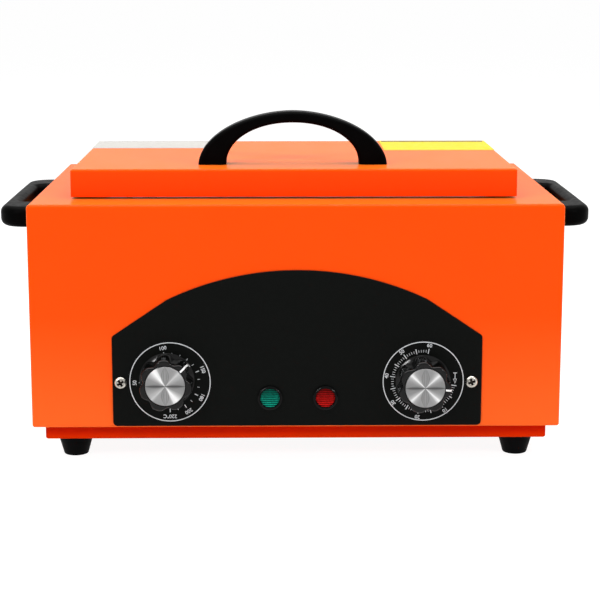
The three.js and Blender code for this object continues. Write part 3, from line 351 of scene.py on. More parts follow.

# Spun caps: painted highlights as stops of place and level over a half turn, and painted reflection
# marks as stops over half the width of a mark
EVEN_PAINTED_HIGHLIGHTS = (
    (0, 0.26), (0.12, 0.3), (0.2, 0.42), (0.24, 0.72), (0.29, 0.42), (0.38, 0.34), (0.5, 0.32),
    (0.62, 0.34), (0.7, 0.42), (0.76, 0.78), (0.8, 0.42), (0.9, 0.3), (1, 0.26),
)
BROAD_PAINTED_HIGHLIGHTS = (
    (0, 0.26), (0.13, 0.3), (0.21, 0.38), (0.25, 0.52), (0.3, 0.38), (0.42, 0.34), (0.5, 0.34),
    (0.6, 0.36), (0.63, 0.5), (0.65, 0.82), (0.71, 0.86), (0.78, 0.6), (0.86, 0.34), (1, 0.26),
)
LEVEL_REFLECTION_MARK = ((0, 0.3), (0.35, 0.62), (0.7, 0.95), (1, 1))
LEVEL_REFLECTION_MARK_SHARE = 0.13
UPRIGHT_REFLECTION_MARK = ((0, 0.96), (0.15, 0.96), (0.35, 0.66), (0.55, 1), (0.8, 0.64), (1, 1))
UPRIGHT_REFLECTION_MARK_SHARE = 0.2
REFLECTION_MARK_END_SHARE = 0.02

# Camera and studio
CAMERA_SIDE = -12.4 * MM
CAMERA_DISTANCE = 1109 * MM
CAMERA_HEIGHT = 301 * MM
CAMERA_PITCH = 10.96
CAMERA_YAW = 0.77
CAMERA_LENS = 103.1
CAMERA_CLIP = (0.05, 200)
FLOOR_SIZE = 60
FLOOR_COLOUR = (0.8, 0.8, 0.8)
FLOOR_GLOW = 0.93
FLOOR_SHADING = 0.3
WORLD_FILL = 0.25
LAMP_TARGET = (0, 0, 0.1)
LAMPS = (
    ("key", (-1.03, -1.26, 0.95), (0.8, 0.035), 8.5, 50),
    ("fill", (1.25, -1.3, 0.8), (0.6, 0.035), 6, -45),
    ("top", (0, 0.05, 1.6), (2.2, 1.6), 56, 0),
)


def middle(node):
    low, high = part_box(node)
    return (low + high) / 2


def half_size(node):
    low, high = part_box(node)
    return (high - low) / 2


case_low, case_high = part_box("case_shell")
pan_low, pan_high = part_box("base_pan")
lid_low, lid_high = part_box("lid_shell")
tank_low, tank_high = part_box("chamber_tank")
panel_low, panel_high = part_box("front_panel")
pin_low, pin_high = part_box("hinge_pin")
case_mid = middle("case_shell")
lid_mid = middle("lid_shell")
tank_mid = middle("chamber_tank")
pin_mid = middle("hinge_pin")
inlet_mid = middle("mains_inlet")
panel_face = panel_low.y
knuckle_pitch = (pin_high.x - pin_low.x) / HINGE_KNUCKLES
inlet_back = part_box("mains_inlet")[1].y
socket_floor = inlet_back - INLET_FLANGE - INLET_SOCKET_DEPTH


# Meshes

def object_from(name, bm):
    """A new object, with its faces pointing out, from a bmesh."""
    bmesh.ops.recalc_face_normals(bm, faces=bm.faces)
    mesh = bpy.data.meshes.new(name)
    bm.to_mesh(mesh)
    bm.free()
    obj = bpy.data.objects.new(name, mesh)
    bpy.context.scene.collection.objects.link(obj)
    return obj


def add_rings(bm, rings, closed=False):
    """Adds a skin through rings of points, with poles at rings of one point and capped ends."""
    layers = [[bm.verts.new(point) for point in ring] for ring in rings]
    pairs = list(zip(layers, layers[1:]))
    if closed:
        pairs.append((layers[-1], layers[0]))
    for lower, upper in pairs:
        count = max(len(lower), len(upper))
        for i in range(count):
            j = (i + 1) % count
            below = [lower[i % len(lower)], lower[j % len(lower)]]
            above = [upper[j % len(upper)], upper[i % len(upper)]]
            bm.faces.new(list(dict.fromkeys(below + above)))
    if not closed:
        for layer in (layers[0], layers[-1]):
            if len(layer) > 1:
                bm.faces.new(layer)


def ring_object(name, rings, closed=False):
    bm = bmesh.new()
    add_rings(bm, rings, closed)
    return object_from(name, bm)


def circle(radius, height, steps=ROUND_STEPS):
    """A ring of points round z, or the pole where the radius is zero."""
    if radius == 0:
        return [Vector((0, 0, height))]
    turns = [2 * math.pi * i / steps for i in range(steps)]
    return [Vector((radius * math.cos(t), radius * math.sin(t), height)) for t in turns]


def turned(name, profile, steps=ROUND_STEPS, closed=False):
    return ring_object(name, [circle(radius, height, steps) for radius, height in profile], closed)


def arc_points(centre, radius, start, end, steps):
    """Points on an arc in a plane, from the start angle to the end angle in degrees."""
    points = []
    for i in range(steps + 1):
        angle = math.radians(start + (end - start) * i / steps)
        points.append((centre[0] + radius * math.cos(angle), centre[1] + radius * math.sin(angle)))
    return points


def rounded_section(half_u, half_v, radius, steps=EDGE_STEPS):
    """Points round a rectangle with rounded corners, as pairs."""
    points = []
    for corner in range(4):
        sign_u = 1 if corner in (0, 3) else -1
        sign_v = 1 if corner in (0, 1) else -1
        centre = (sign_u * (half_u - radius), sign_v * (half_v - radius))
        points += arc_points(centre, radius, corner * 90, corner * 90 + 90, steps)
    return points


def rectangle_ring(half_x, half_y, radius, z, centre=(0, 0)):
    """A ring of points round a rectangle with rounded corners."""
    points = rounded_section(half_x, half_y, max(radius, LEAST_RADIUS), CORNER_STEPS)
    return [Vector((x + centre[0], y + centre[1], z)) for x, y in points]


def folded_rings(half, radius, profile, centre):
    """Rings of a folded sheet: each profile point is an inset from the outline and a height."""
    return [
        rectangle_ring(half[0] - inset, half[1] - inset, radius - inset, z, centre)
        for inset, z in profile
    ]


def shoulder(inset, z, radius, up, steps=EDGE_STEPS):
    """Profile points of a quarter round, from the wall at `inset` to the flat at height `z`."""
    points = []
    for step in range(steps + 1):
        angle = math.pi / 2 * step / steps
        points.append((inset + radius * (1 - math.cos(angle)), z - up * radius * (1 - math.sin(angle))))
    return points


def add_box(bm, low, high):
    corners = plan_box(low[0], low[1], high[0], high[1])
    add_rings(bm, [[Vector((x, y, z)) for x, y in corners] for z in (low[2], high[2])])


def plan_box(x_low, y_low, x_high, y_high):
    return [(x_low, y_low), (x_high, y_low), (x_high, y_high), (x_low, y_high)]


def add_cylinder(bm, start, end, radius, steps=SMALL_STEPS):
    """Adds a cylinder between two points."""
    start, end = Vector(start), Vector(end)
    turn = Vector((0, 0, 1)).rotation_difference(end - start).to_matrix()
    rings = [[turn @ point + place for point in circle(radius, 0, steps)] for place in (start, end)]
    add_rings(bm, rings)


def drill(bm, node, axis, span, radius):
    """Adds the cutter of a hole through the middle of a node, over a span of one axis."""
    start = middle(node)
    end = start.copy()
    setattr(start, axis, span[0])
    setattr(end, axis, span[1])
    add_cylinder(bm, start, end, radius)


def bake_modifiers(obj):
    """Replaces an object's mesh by what its modifiers make of it."""
    bpy.context.view_layer.update()
    graph = bpy.context.evaluated_depsgraph_get()
    mesh = bpy.data.meshes.new_from_object(obj.evaluated_get(graph))
    obj.modifiers.clear()
    old = obj.data
    obj.data = mesh
    mesh.name = obj.name
    bpy.data.meshes.remove(old)


def carve(obj, cutter, operation="DIFFERENCE"):
    """Cuts a tool away from an object, or keeps what they share, and deletes the tool."""
    modifier = obj.modifiers.new("carve", "BOOLEAN")
    modifier.object = cutter
    modifier.operation = operation
    modifier.solver = "EXACT"
    bake_modifiers(obj)
    bpy.data.objects.remove(cutter)


def smooth(obj, angle):
    """Smooth shading that keeps edges sharper than the angle, with flat faces left flat."""
    obj.data.shade_smooth()
    obj.data.set_sharp_from_angle(angle=math.radians(angle))
    modifier = obj.modifiers.new("even_normals", "WEIGHTED_NORMAL")
    modifier.keep_sharp = True


def join(name, objects):
    """One object from the meshes of several, each kept where it is."""
    bm = bmesh.new()
    for obj in objects:
        start = len(bm.verts)
        bm.from_mesh(obj.data)
        bm.verts.ensure_lookup_table()
        for vert in bm.verts[start:]:
            vert.co = obj.matrix_basis @ vert.co
        bpy.data.objects.remove(obj)
    return object_from(name, bm)


def dress(obj, finish, body, slot, *nodes, angle=None):
    """Gives a piece its finish, body, the nodes it stands for and smooth shading. The material slot
    argument is not used.
    """
    if angle is not None:
        smooth(obj, angle)
    obj.data.materials.clear()
    obj.data.materials.append(finish)
    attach(obj, body)
    if nodes:
        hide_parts(*nodes)


def facing_front(x, z, y=panel_face, spin=0):
    """The place of a piece made round z, turned to face the front."""
    turn = Matrix.Rotation(math.radians(90), 4, "X") @ Matrix.Rotation(math.radians(spin), 4, "Z")
    return Matrix.Translation((x, y, z)) @ turn


# Finishes

class Finish:
    """A procedural material: a principled shader with noise for its colour, roughness and bump."""

    def __init__(self, name, colour, **values):
        self.material = bpy.data.materials.new(name)
        self.material.use_nodes = True
        self.tree = self.material.node_tree
        self.shader = self.tree.nodes["Principled BSDF"]
        self.shader.inputs["Base Color"].default_value = (*colour, 1)
        for socket, value in values.items():
            self.shader.inputs[socket.replace("_", " ")].default_value = value
        self.material.diffuse_color = (*colour, 1)
        self.colour = colour

    def node(self, kind, **settings):
        node = self.tree.nodes.new(kind)
        for setting, value in settings.items():
            setattr(node, setting, value)
        return node

    def link(self, source, target):
        self.tree.links.new(source, target)

    def place(self, stretch=(1, 1, 1)):
        """The object's own coordinates in metres, stretched."""
        coordinates = self.node("ShaderNodeTexCoord")
        mapping = self.node("ShaderNodeMapping")
        mapping.inputs["Scale"].default_value = stretch
        self.link(coordinates.outputs["Object"], mapping.inputs["Vector"])
        return mapping.outputs["Vector"]

    def across(self):
        """The object's own x, y and z in metres."""
        split = self.node("ShaderNodeSeparateXYZ")
        self.link(self.place(), split.inputs["Vector"])
        return [split.outputs[axis] for axis in "XYZ"]

    def math(self, operation, first, second=None, clamp=False):
        node = self.node("ShaderNodeMath", operation=operation, use_clamp=clamp)
        for socket, value in zip(node.inputs, (first, second)):
            if isinstance(value, bpy.types.NodeSocket):
                self.link(value, socket)
            elif value is not None:
                socket.default_value = value
        return node.outputs["Value"]

    def noise(self, scale, detail=3, stretch=(1, 1, 1), roughness=0.5):
        noise = self.node("ShaderNodeTexNoise")
        noise.inputs["Scale"].default_value = scale
        noise.inputs["Detail"].default_value = detail
        noise.inputs["Roughness"].default_value = roughness
        self.link(self.place(stretch), noise.inputs["Vector"])
        return noise.outputs["Fac"]

    def spread(self, factor, low, high, start=0.3, end=0.7):
        """Maps a noise's middle range to the range from low to high."""
        spread = self.node("ShaderNodeMapRange")
        spread.inputs["From Min"].default_value = start
        spread.inputs["From Max"].default_value = end
        spread.inputs["To Min"].default_value = low
        spread.inputs["To Max"].default_value = high
        self.link(factor, spread.inputs["Value"])
        return spread.outputs["Result"]

    def blend(self, factor, first, second):
        """A colour between two others, each a colour or a socket."""
        mix = self.node("ShaderNodeMix", data_type="RGBA")
        self.link(factor, mix.inputs["Factor"])
        for socket, value in (("A", first), ("B", second)):
            target = [i for i in mix.inputs if i.name == socket and i.type == "RGBA"][0]
            if isinstance(value, bpy.types.NodeSocket):
                self.link(value, target)
            else:
                target.default_value = (*value, 1)
        return [o for o in mix.outputs if o.type == "RGBA"][0]

    def ramp(self, factor, stops):
        """A grey level from stops of position and level, the first at zero and the last at one."""
        node = self.node("ShaderNodeValToRGB")
        elements = node.color_ramp.elements
        for position, level in stops[1:-1]:
            elements.new(position).color = (level, level, level, 1)
        for element, (_, level) in ((elements[0], stops[0]), (elements[-1], stops[-1])):
            element.color = (level, level, level, 1)
        self.link(factor, node.inputs["Fac"])
        return node.outputs["Color"]

    def set_colour(self, source):
        self.link(source, self.shader.inputs["Base Color"])

    def vary_colour(self, scale, darker, lighter, detail=3, stretch=(1, 1, 1)):
        """Colour that wanders between the base colour times two shares."""
        factor = self.spread(self.noise(scale, detail, stretch), 0, 1)
        dark = tuple(c * darker for c in self.colour)
        light = tuple(min(c * lighter, 1) for c in self.colour)
        colour = self.blend(factor, dark, light)
        self.set_colour(colour)
        return colour

    def vary_roughness(self, scale, low, high, detail=2, stretch=(1, 1, 1)):
        result = self.spread(self.noise(scale, detail, stretch), low, high)
        self.link(result, self.shader.inputs["Roughness"])

    def grain(self, scale, detail, strength, distance, under=None, **noise):
        """A bump from noise."""
        return self.bump(self.noise(scale, detail, **noise), strength, distance, under)

    def bump(self, height, strength, distance, under=None):
        bump = self.node("ShaderNodeBump")
        bump.inputs["Strength"].default_value = strength
        bump.inputs["Distance"].default_value = distance
        self.link(height, bump.inputs["Height"])
        if under is not None:
            self.link(under, bump.inputs["Normal"])
        self.link(bump.outputs["Normal"], self.shader.inputs["Normal"])
        return bump.outputs["Normal"]


def orange_paint(name, colour, sheen, floor_light_shares, levels, specular):
    """Gloss powder coat with a fine orange-peel skin.

    Between two levels it turns lighter towards the foot, by a share per channel, as painted light from
    the floor.
    """
    finish = Finish(name, colour, IOR=1.12, Specular_IOR_Level=specular, Sheen_Weight=sheen,
                    Sheen_Roughness=0.35, Sheen_Tint=(1, 0.62, 0.06, 1))
    wandering = finish.vary_colour(9, 0.98, 1.02)
    # Painted light: the colour lightens towards the foot, as if lit from the floor below.
    floor_lit_colour = tuple(c + (1 - c) * share for c, share in zip(colour, floor_light_shares))
    painted_floor_light = finish.spread(finish.across()[2], 1, 0, *levels)
    finish.set_colour(finish.blend(painted_floor_light, wandering, floor_lit_colour))
    finish.vary_roughness(60, 0.24, 0.27)
    peel = finish.grain(480, 2, 0.12, 0.1 * MM)
    finish.grain(2400, 1, 0.05, 0.04 * MM, peel)
    return finish.material


def panel_film():
    finish = Finish("panel_film", (0.0022, 0.0026, 0.0022), IOR=1.2, Specular_IOR_Level=0.22)
    finish.vary_colour(400, 0.85, 1.15)
    finish.vary_roughness(90, 0.42, 0.52)
    finish.grain(4200, 2, 0.12, 0.03 * MM)
    return finish.material


def printed_ink(name, colour):
    finish = Finish(name, colour, Specular_IOR_Level=0.2)
    finish.vary_colour(2500, 0.9, 1.05)
    finish.vary_roughness(700, 0.5, 0.65)
    finish.grain(5000, 1, 0.08, 0.02 * MM)
    return finish.material


def black_moulding(name, level, rough, specular, grain):
    """Black moulded plastic with a fine grain."""
    finish = Finish(name, (level, level, level), IOR=1.3, Specular_IOR_Level=specular)
    finish.vary_colour(130, 0.8, 1.25)
    finish.vary_roughness(220, rough - 0.04, rough + 0.06)
    fine = finish.grain(2600, 3, grain, 0.05 * MM)
    finish.grain(160, 2, 0.05, 0.2 * MM, fine)
    return finish.material


def spun_aluminium(name, sectors):
    """Spun metal: fine rings about the piece's own axis spread the light into sectors, and its colour
    adds painted highlights in sectors and painted dark reflection marks.
    """
    finish = Finish(name, (0.34, 0.34, 0.345), Metallic=1, Anisotropic=1)
    tangent = finish.node("ShaderNodeTangent", direction_type="RADIAL", axis="Z")
    finish.link(tangent.outputs["Tangent"], finish.shader.inputs["Tangent"])
    x, y, _ = finish.across()
    rings = finish.node("ShaderNodeTexWave", wave_type="RINGS", rings_direction="Z", wave_profile="SAW")
    rings.inputs["Scale"].default_value = 900
    rings.inputs["Distortion"].default_value = 0.6
    rings.inputs["Detail"].default_value = 2
    finish.link(finish.place(), rings.inputs["Vector"])
    half_turns = finish.math("ADD", finish.math("DIVIDE", finish.math("ARCTAN2", y, x), math.pi), 1)
    # Painted highlights: bright sectors about the cap's axis, fixed to the cap.
    painted_highlights = finish.ramp(finish.math("FRACT", half_turns), sectors)
    shade = finish.spread(rings.outputs["Fac"], 0.9, 1, 0, 1)
    # Painted reflections: dark lens-shaped marks across and along the cap.
    shade = finish.math("MULTIPLY", shade, lens_mark(finish, y, x, LEVEL_REFLECTION_MARK_SHARE, LEVEL_REFLECTION_MARK))
    shade = finish.math("MULTIPLY", shade, lens_mark(finish, x, y, UPRIGHT_REFLECTION_MARK_SHARE, UPRIGHT_REFLECTION_MARK))
    finish.set_colour(finish.blend(shade, (0.01, 0.01, 0.011), painted_highlights))
    finish.vary_roughness(300, 0.42, 0.46)
    finish.bump(rings.outputs["Fac"], 0.1, 0.02 * MM)
    return finish.material


def lens_mark(finish, across, along, width, stops):
    """Painted reflection: shade of a pair of dark lens-shaped marks that meet at the cap's middle, by
    stops over their width.
    """
    share = finish.spread(finish.math("ABSOLUTE", along), 0, math.pi, 0, CAP_RADIUS)
    bulge = finish.math("MULTIPLY", finish.math("SINE", share), width * CAP_RADIUS)
    half = finish.math("ADD", bulge, REFLECTION_MARK_END_SHARE * CAP_RADIUS)
    place = finish.math("DIVIDE", finish.math("ABSOLUTE", across), half, clamp=True)
    return finish.ramp(place, stops)


def plated_steel(name, shaded_recess=False):
    """Plated steel. In a screw head made round its own z, the recess is darkened with painted shade."""
    colour = (0.5, 0.48, 0.43)
    finish = Finish(name, colour, Metallic=1)
    varied = finish.vary_colour(350, 0.72, 1.2)
    if shaded_recess:
        # Painted shade: darker inside the head's rim and below its top, where the cross recess is.
        x, y, z = finish.across()
        squares = [finish.math("MULTIPLY", value, value) for value in (x, y)]
        radius = finish.math("SQRT", finish.math("ADD", *squares))
        outside = finish.spread(radius, 0, 1, 1.9 * MM, 2.9 * MM)
        raised = finish.spread(z, 0, 1, 1.9 * MM, 2.3 * MM)
        outside_painted_shade = finish.math("MAXIMUM", outside, raised, clamp=True)
        finish.set_colour(finish.blend(outside_painted_shade, (0.02, 0.017, 0.014), varied))
    finish.vary_roughness(500, 0.14, 0.3)
    finish.grain(1500, 3, 0.08, 0.03 * MM)
    return finish.material


def stainless(name, colour, stretch):
    """Brushed stainless with its grain along one axis."""
    finish = Finish(name, colour, Metallic=1, Anisotropic=0.4)
    finish.vary_colour(260, 0.85, 1.1, 4, stretch)
    finish.vary_roughness(420, 0.24, 0.42, 3, stretch)
    finish.grain(900, 3, 0.1, 0.05 * MM, stretch=stretch)
    return finish.material


def lens(name, colour, painted_lit_colour):
    """Ribbed clear plastic whose colour carries painted light: lighter on the ribs' crests, darker in
    its grooves and darker towards the top.
    """
    finish = Finish(name, colour, IOR=1.3, Specular_IOR_Level=0.08)
    height = finish.across()[1]
    # Painted light: lighter towards the bottom of the lens, darker towards the top.
    rise = finish.spread(height, 0.85, 0.12, -LAMP_LENS_RADIUS, LAMP_LENS_RADIUS)
    # Painted light along the ribs: lit crests and shaded grooves.
    wave = finish.math("COSINE", finish.math("MULTIPLY", height, 2 * math.pi / RIB_PITCH))
    ribs = finish.spread(wave, 0.1, 1.15, -1, 1)
    grain = finish.spread(finish.noise(1300, 2, (0.8, 0.4, 1)), 0.55, 1.3)
    share = finish.math("MULTIPLY", finish.math("MULTIPLY", ribs, grain), rise, clamp=True)
    finish.set_colour(finish.blend(share, colour, painted_lit_colour))
    finish.vary_roughness(500, 0.2, 0.3)
    finish.grain(2200, 1, 0.06, 0.04 * MM)
    return finish.material


def rubber(name, colour, low, high):
    finish = Finish(name, colour, IOR=1.2, Specular_IOR_Level=0.2)
    finish.vary_colour(180, 0.75, 1.3)
    finish.vary_roughness(300, low, high)
    finish.grain(2000, 3, 0.25, 0.08 * MM)
    return finish.material


def mineral_wool():
    finish = Finish("mineral_wool", (0.55, 0.48, 0.33), Sheen_Weight=0.3)
    finish.vary_colour(140, 0.6, 1.25, 6)
    finish.vary_roughness(200, 0.85, 1)
    finish.grain(420, 6, 0.8, 1.2 * MM, stretch=(1, 1, 3), roughness=0.7)
    return finish.material


def copper():
    finish = Finish("copper_tube", (0.62, 0.3, 0.17), Metallic=1)
    finish.vary_colour(160, 0.7, 1.1)
    finish.vary_roughness(200, 0.25, 0.45)
    finish.grain(1400, 2, 0.1, 0.05 * MM)
    return finish.material


def paper(name, colour):
    finish = Finish(name, colour, IOR=1.1, Specular_IOR_Level=0.5)
    finish.vary_colour(70, 0.97, 1.02)
    finish.vary_roughness(180, 0.3, 0.45)
    finish.grain(1300, 3, 0.06, 0.03 * MM)
    return finish.material


paint = orange_paint("orange_paint", (0.93, 0.068, 0.0018), 0.68, (0, 0.055, 0.014), CASE_PAINTED_FLOOR_LIGHT, 0.5)
# The pan's paint is a darker copy of the case's paint: painted shade under the case's overhang, turning
# lighter again towards its foot.
shaded_pan_paint = orange_paint("shaded_pan_paint", (0.54, 0.013, 0.0001), 0.03, (0.42, 0.024, 0), PAN_PAINTED_SHADE, 0.1)
panel_black = panel_film()
ink = printed_ink("white_ink", (0.62, 0.64, 0.66))
pointer_ink = printed_ink("pointer_ink", (0.86, 0.86, 0.86))
knob_black = black_moulding("knob_black", 0.0012, 0.1, 0.46, 0.01)
handle_black = black_moulding("handle_black", 0.0012, 0.36, 0.025, 0.16)
inlet_black = black_moulding("inlet_black", 0.008, 0.45, 0.2, 0.12)
lamp_black = black_moulding("lamp_black", 0.0008, 0.1, 0.2, 0.01)
regulator_brown = black_moulding("regulator_body", 0.035, 0.5, 0.4, 0.2)
# Two copies of the spun finish that differ only in where their painted highlights fall.
broad_aluminium = spun_aluminium("spun_aluminium_broad", BROAD_PAINTED_HIGHLIGHTS)
even_aluminium = spun_aluminium("spun_aluminium_even", EVEN_PAINTED_HIGHLIGHTS)
plated = plated_steel("plated_steel")
screw_steel_shaded_recess = plated_steel("screw_steel_shaded_recess", shaded_recess=True)
steel_across = stainless("stainless_across", (0.56, 0.565, 0.57), (0.03, 1, 1))
steel_round = stainless("stainless_drawn", (0.5, 0.505, 0.51), (0.06, 1, 1))
element_steel = stainless("element_steel", (0.2, 0.19, 0.18), (0.2, 1, 1))
green_lens = lens("lens_green", (0.0005, 0.02, 0.014), (0.006, 0.38, 0.26))
red_lens = lens("lens_red", (0.05, 0.0005, 0.0005), (0.72, 0.012, 0.01))
foot_rubber = rubber("foot_rubber", (0.0012, 0.0012, 0.0014), 0.5, 0.65)
seal_rubber = rubber("silicone", (0.34, 0.05, 0.03), 0.5, 0.65)
brown_wire = rubber("wire_brown", (0.09, 0.035, 0.014), 0.4, 0.55)
blue_wire = rubber("wire_blue", (0.015, 0.06, 0.25), 0.4, 0.55)
wool = mineral_wool()
copper_tube = copper()
label_white = paper("label_white", (0.38, 0.37, 0.345))
label_yellow = paper("label_yellow", (0.62, 0.43, 0.003))
label_dark = printed_ink("label_dark", (0.03, 0.03, 0.03))
label_grey = printed_ink("label_grey", (0.4, 0.38, 0.38))

SLOT_FINISHES = {
    "orange_paint": paint,
    "panel_black": panel_black,
    "knob_black": knob_black,
    "handle_black": handle_black,
    "inlet_black": inlet_black,
    "lamp_black": lamp_black,
    "lens_green": green_lens,
    "lens_red": red_lens,
    "foot_rubber": foot_rubber,
    "plated_steel": plated,
    "spun_aluminium": even_aluminium,
    "stainless": steel_across,
    "copper_tube": copper_tube,
    "regulator_body": regulator_brown,
    "mineral_wool": wool,
    "silicone": seal_rubber,
    "wire_brown": brown_wire,
    "wire_blue": blue_wire,
}


def finish_frame_nodes():
    """Every node of the frame takes the finish of its slot."""
    for part in frame["record"]["subparts"]:
        node = frame["nodes"][part["node"]]
        node.data.materials.clear()
        node.data.materials.append(SLOT_FINISHES[part["material_slot"]])
    element = frame["nodes"]["heating_element"]
    element.data.materials.clear()
    element.data.materials.append(element_steel)


finish_frame_nodes()


# Case

def case_shell():
    """Folded shell with a rounded top edge, a hemmed lower edge and the tank's opening in its top."""
    half = half_size("case_shell")
    low, top = case_low.z, case_high.z
    outside = [(CASE_RETURN, low)]
    outside += reversed(shoulder(0, low, CASE_FOLD_RADIUS, -1))
    outside += shoulder(0, top, CASE_TOP_RADIUS, 1)
    inside = shoulder(CASE_SHEET, top - CASE_SHEET, CASE_TOP_RADIUS - CASE_SHEET, 1)[::-1]
    inside += shoulder(CASE_SHEET, low + CASE_SHEET, CASE_FOLD_RADIUS - CASE_SHEET, -1)
    inside += [(CASE_RETURN, low + CASE_SHEET)]
    mouth = half_size("chamber_tank")
    profile = [(TANK_FLANGE - CLEARANCE, z) for z in (top, top - CASE_SHEET)]
    radius = TANK_CORNER_RADIUS + TANK_SHEET + TANK_FLANGE - CLEARANCE
    rings = folded_rings(half, CASE_CORNER_RADIUS, outside, case_mid)
    rings += folded_rings(mouth, radius, profile, tank_mid)
    rings += folded_rings(half, CASE_CORNER_RADIUS, inside, case_mid)
    shell = ring_object("case_shell_fine", rings, closed=True)
    carve(shell, case_holes())
    dress(shell, paint, "root", "orange_paint", "case_shell", angle=SHEET_ANGLE)


def case_holes():
    bm = bmesh.new()
    reach = CASE_SHEET + OVERRUN
    rear = (case_high.y - reach, case_high.y + reach)
    floor_span = (case_low.z - OVERRUN, case_low.z + reach)
    for node, radius in FRONT_HOLES:
        drill(bm, node, "y", (case_low.y - OVERRUN, case_low.y + reach), radius + CLEARANCE)
    for corner in CORNERS:
        wall = case_low.x if corner.endswith("left") else case_high.x
        span = (wall - reach, wall + reach)
        drill(bm, f"side_handle_screw_{corner}", "x", span, WIDE_SCREW_HOLE)
        drill(bm, f"base_screw_{corner}", "z", floor_span, SMALL_SCREW_HOLE)
    half_x = INLET_BODY_WIDTH / 2 + CLEARANCE
    half_z = INLET_BODY_HEIGHT / 2 + CLEARANCE
    low = (inlet_mid.x - half_x, rear[0], inlet_mid.z - half_z)
    add_box(bm, low, (inlet_mid.x + half_x, rear[1], inlet_mid.z + half_z))
    for side in SIDES:
        drill(bm, f"inlet_screw_{side}", "y", rear, SMALL_SCREW_HOLE)
    return object_from("case_holes", bm)


def base_pan():
    """Inset pan with a turned-in flange, vents and holes for its screws."""
    low, top = pan_low.z, pan_high.z
    profile = shoulder(PAN_SHEET, low + PAN_SHEET, PAN_INNER_RADIUS, -1)[::-1]
    profile += [(PAN_SHEET, top - PAN_SHEET), (PAN_FLANGE, top - PAN_SHEET), (PAN_FLANGE, top)]
    profile += reversed(shoulder(0, top, PAN_TOP_RADIUS, 1, 2))
    profile += shoulder(0, low, PAN_EDGE_RADIUS, -1)
    rings = folded_rings(half_size("base_pan"), PAN_CORNER_RADIUS, profile, case_mid)
    pan = ring_object("base_pan_fine", rings)
    carve(pan, pan_holes())
    dress(pan, shaded_pan_paint, "root", "orange_paint", "base_pan", angle=SHEET_ANGLE)


def pan_holes():
    bm = bmesh.new()
    floor_span = (pan_low.z - OVERRUN, pan_low.z + PAN_SHEET + OVERRUN)
    flange_span = (pan_high.z - PAN_SHEET - OVERRUN, pan_high.z + OVERRUN)
    for corner in CORNERS:
        drill(bm, f"base_screw_{corner}", "z", floor_span, PAN_ACCESS_RADIUS)
        drill(bm, f"base_screw_{corner}", "z", flange_span, SMALL_SCREW_HOLE)
        drill(bm, f"foot_screw_{corner}", "z", floor_span, WIDE_SCREW_HOLE)
    run, radius = (VENT_LENGTH - VENT_WIDTH) / 2, VENT_WIDTH / 2
    for side in (-1, 1):
        for slot in range(VENTS_PER_GROUP):
            x = side * VENT_GROUP_X + (slot - (VENTS_PER_GROUP - 1) / 2) * VENT_PITCH
            outline = arc_points((x, case_mid.y + run), radius, 0, 180, SLOT_END_STEPS)
            outline += arc_points((x, case_mid.y - run), radius, 180, 360, SLOT_END_STEPS)
            add_rings(bm, [[Vector((*point, z)) for point in outline] for z in floor_span])
    return object_from("pan_holes", bm)


case_shell()
base_pan()


def foot(node):
    """Tapered rubber foot with a rounded lower edge and a recess for its screw."""
    place = middle(node)
    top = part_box(node)[1].z
    rim = FOOT_BOTTOM_RADIUS - FOOT_EDGE_RADIUS
    taper = math.degrees(math.atan((FOOT_TOP_RADIUS - FOOT_BOTTOM_RADIUS) / (top - FOOT_EDGE_RADIUS)))
    neck, recess = FOOT_NECK_RADIUS, FOOT_RECESS_RADIUS
    profile = [(WIDE_SCREW_HOLE, FOOT_RECESS_DEPTH), (recess, FOOT_RECESS_DEPTH)]
    profile += [(recess, FOOT_RECESS_EDGE), (recess + FOOT_RECESS_EDGE, 0)]
    profile += arc_points((rim, FOOT_EDGE_RADIUS), FOOT_EDGE_RADIUS, -90, -taper, EDGE_STEPS)
    profile += arc_points((FOOT_TOP_RADIUS - neck, top - neck), neck, 0, 90, BEVEL_STEPS)
    profile += [(WIDE_SCREW_HOLE, top)]
    obj = turned(f"{node}_fine", profile, closed=True)
    obj.matrix_world = Matrix.Translation((place.x, place.y, 0))
    dress(obj, foot_rubber, "root", "foot_rubber", node, angle=METAL_ANGLE)


for corner_name in CORNERS:
    foot(f"foot_{corner_name}")


# Screws

def screw_mesh(name, head, rise, shank, length):
    """Pan head screw with a cross recess. Its bearing face is at zero and its head above."""
    profile = [(0, -length), (shank * SCREW_TIP_SHARE, -length)]
    profile += [(shank, -length + shank * SCREW_POINT_SHARE), (shank, 0)]
    profile += [(head, 0), (head, rise * HEAD_EDGE_SHARE)]
    for x, y in arc_points((0, 0), 1, DOME_START_ANGLE, 90, DOME_STEPS)[:-1]:
        height = DOME_START_SHARE + (1 - DOME_START_SHARE) * y
        profile.append((head * math.cos(math.atan2(y, x)), rise * height))
    screw = turned(name, profile + [(0, rise)], SMALL_STEPS)
    floor_z, mouth_z = rise * (1 - CROSS_DEPTH_SHARE), rise + CROSS_OVERRUN
    for turn in (0, 90):
        spin = Matrix.Rotation(math.radians(turn), 3, "Z")
        rings = []
        for share, z in ((CROSS_FLOOR_SHARE, floor_z), (CROSS_MOUTH_SHARE, mouth_z)):
            x, y = head * CROSS_ARM_SHARE * share, head * CROSS_WIDTH_SHARE * share
            rings.append([spin @ Vector((*point, z)) for point in plan_box(-x, -y, x, y)])
        carve(screw, ring_object("recess", rings))
    return screw


def place_screw(node, matrix, sizes, finish=plated):
    screw = screw_mesh(f"{node}_fine", *sizes)
    screw.matrix_world = matrix
    dress(screw, finish, "root", "plated_steel", node, angle=METAL_ANGLE)


def panel_screw(side):
    node = f"panel_screw_{side}"
    spot = middle(node)
    place = facing_front(spot.x, spot.z, panel_face - SEAT, PANEL_SCREW_TURNS[side])
    place_screw(node, place, PANEL_SCREW, screw_steel_shaded_recess)


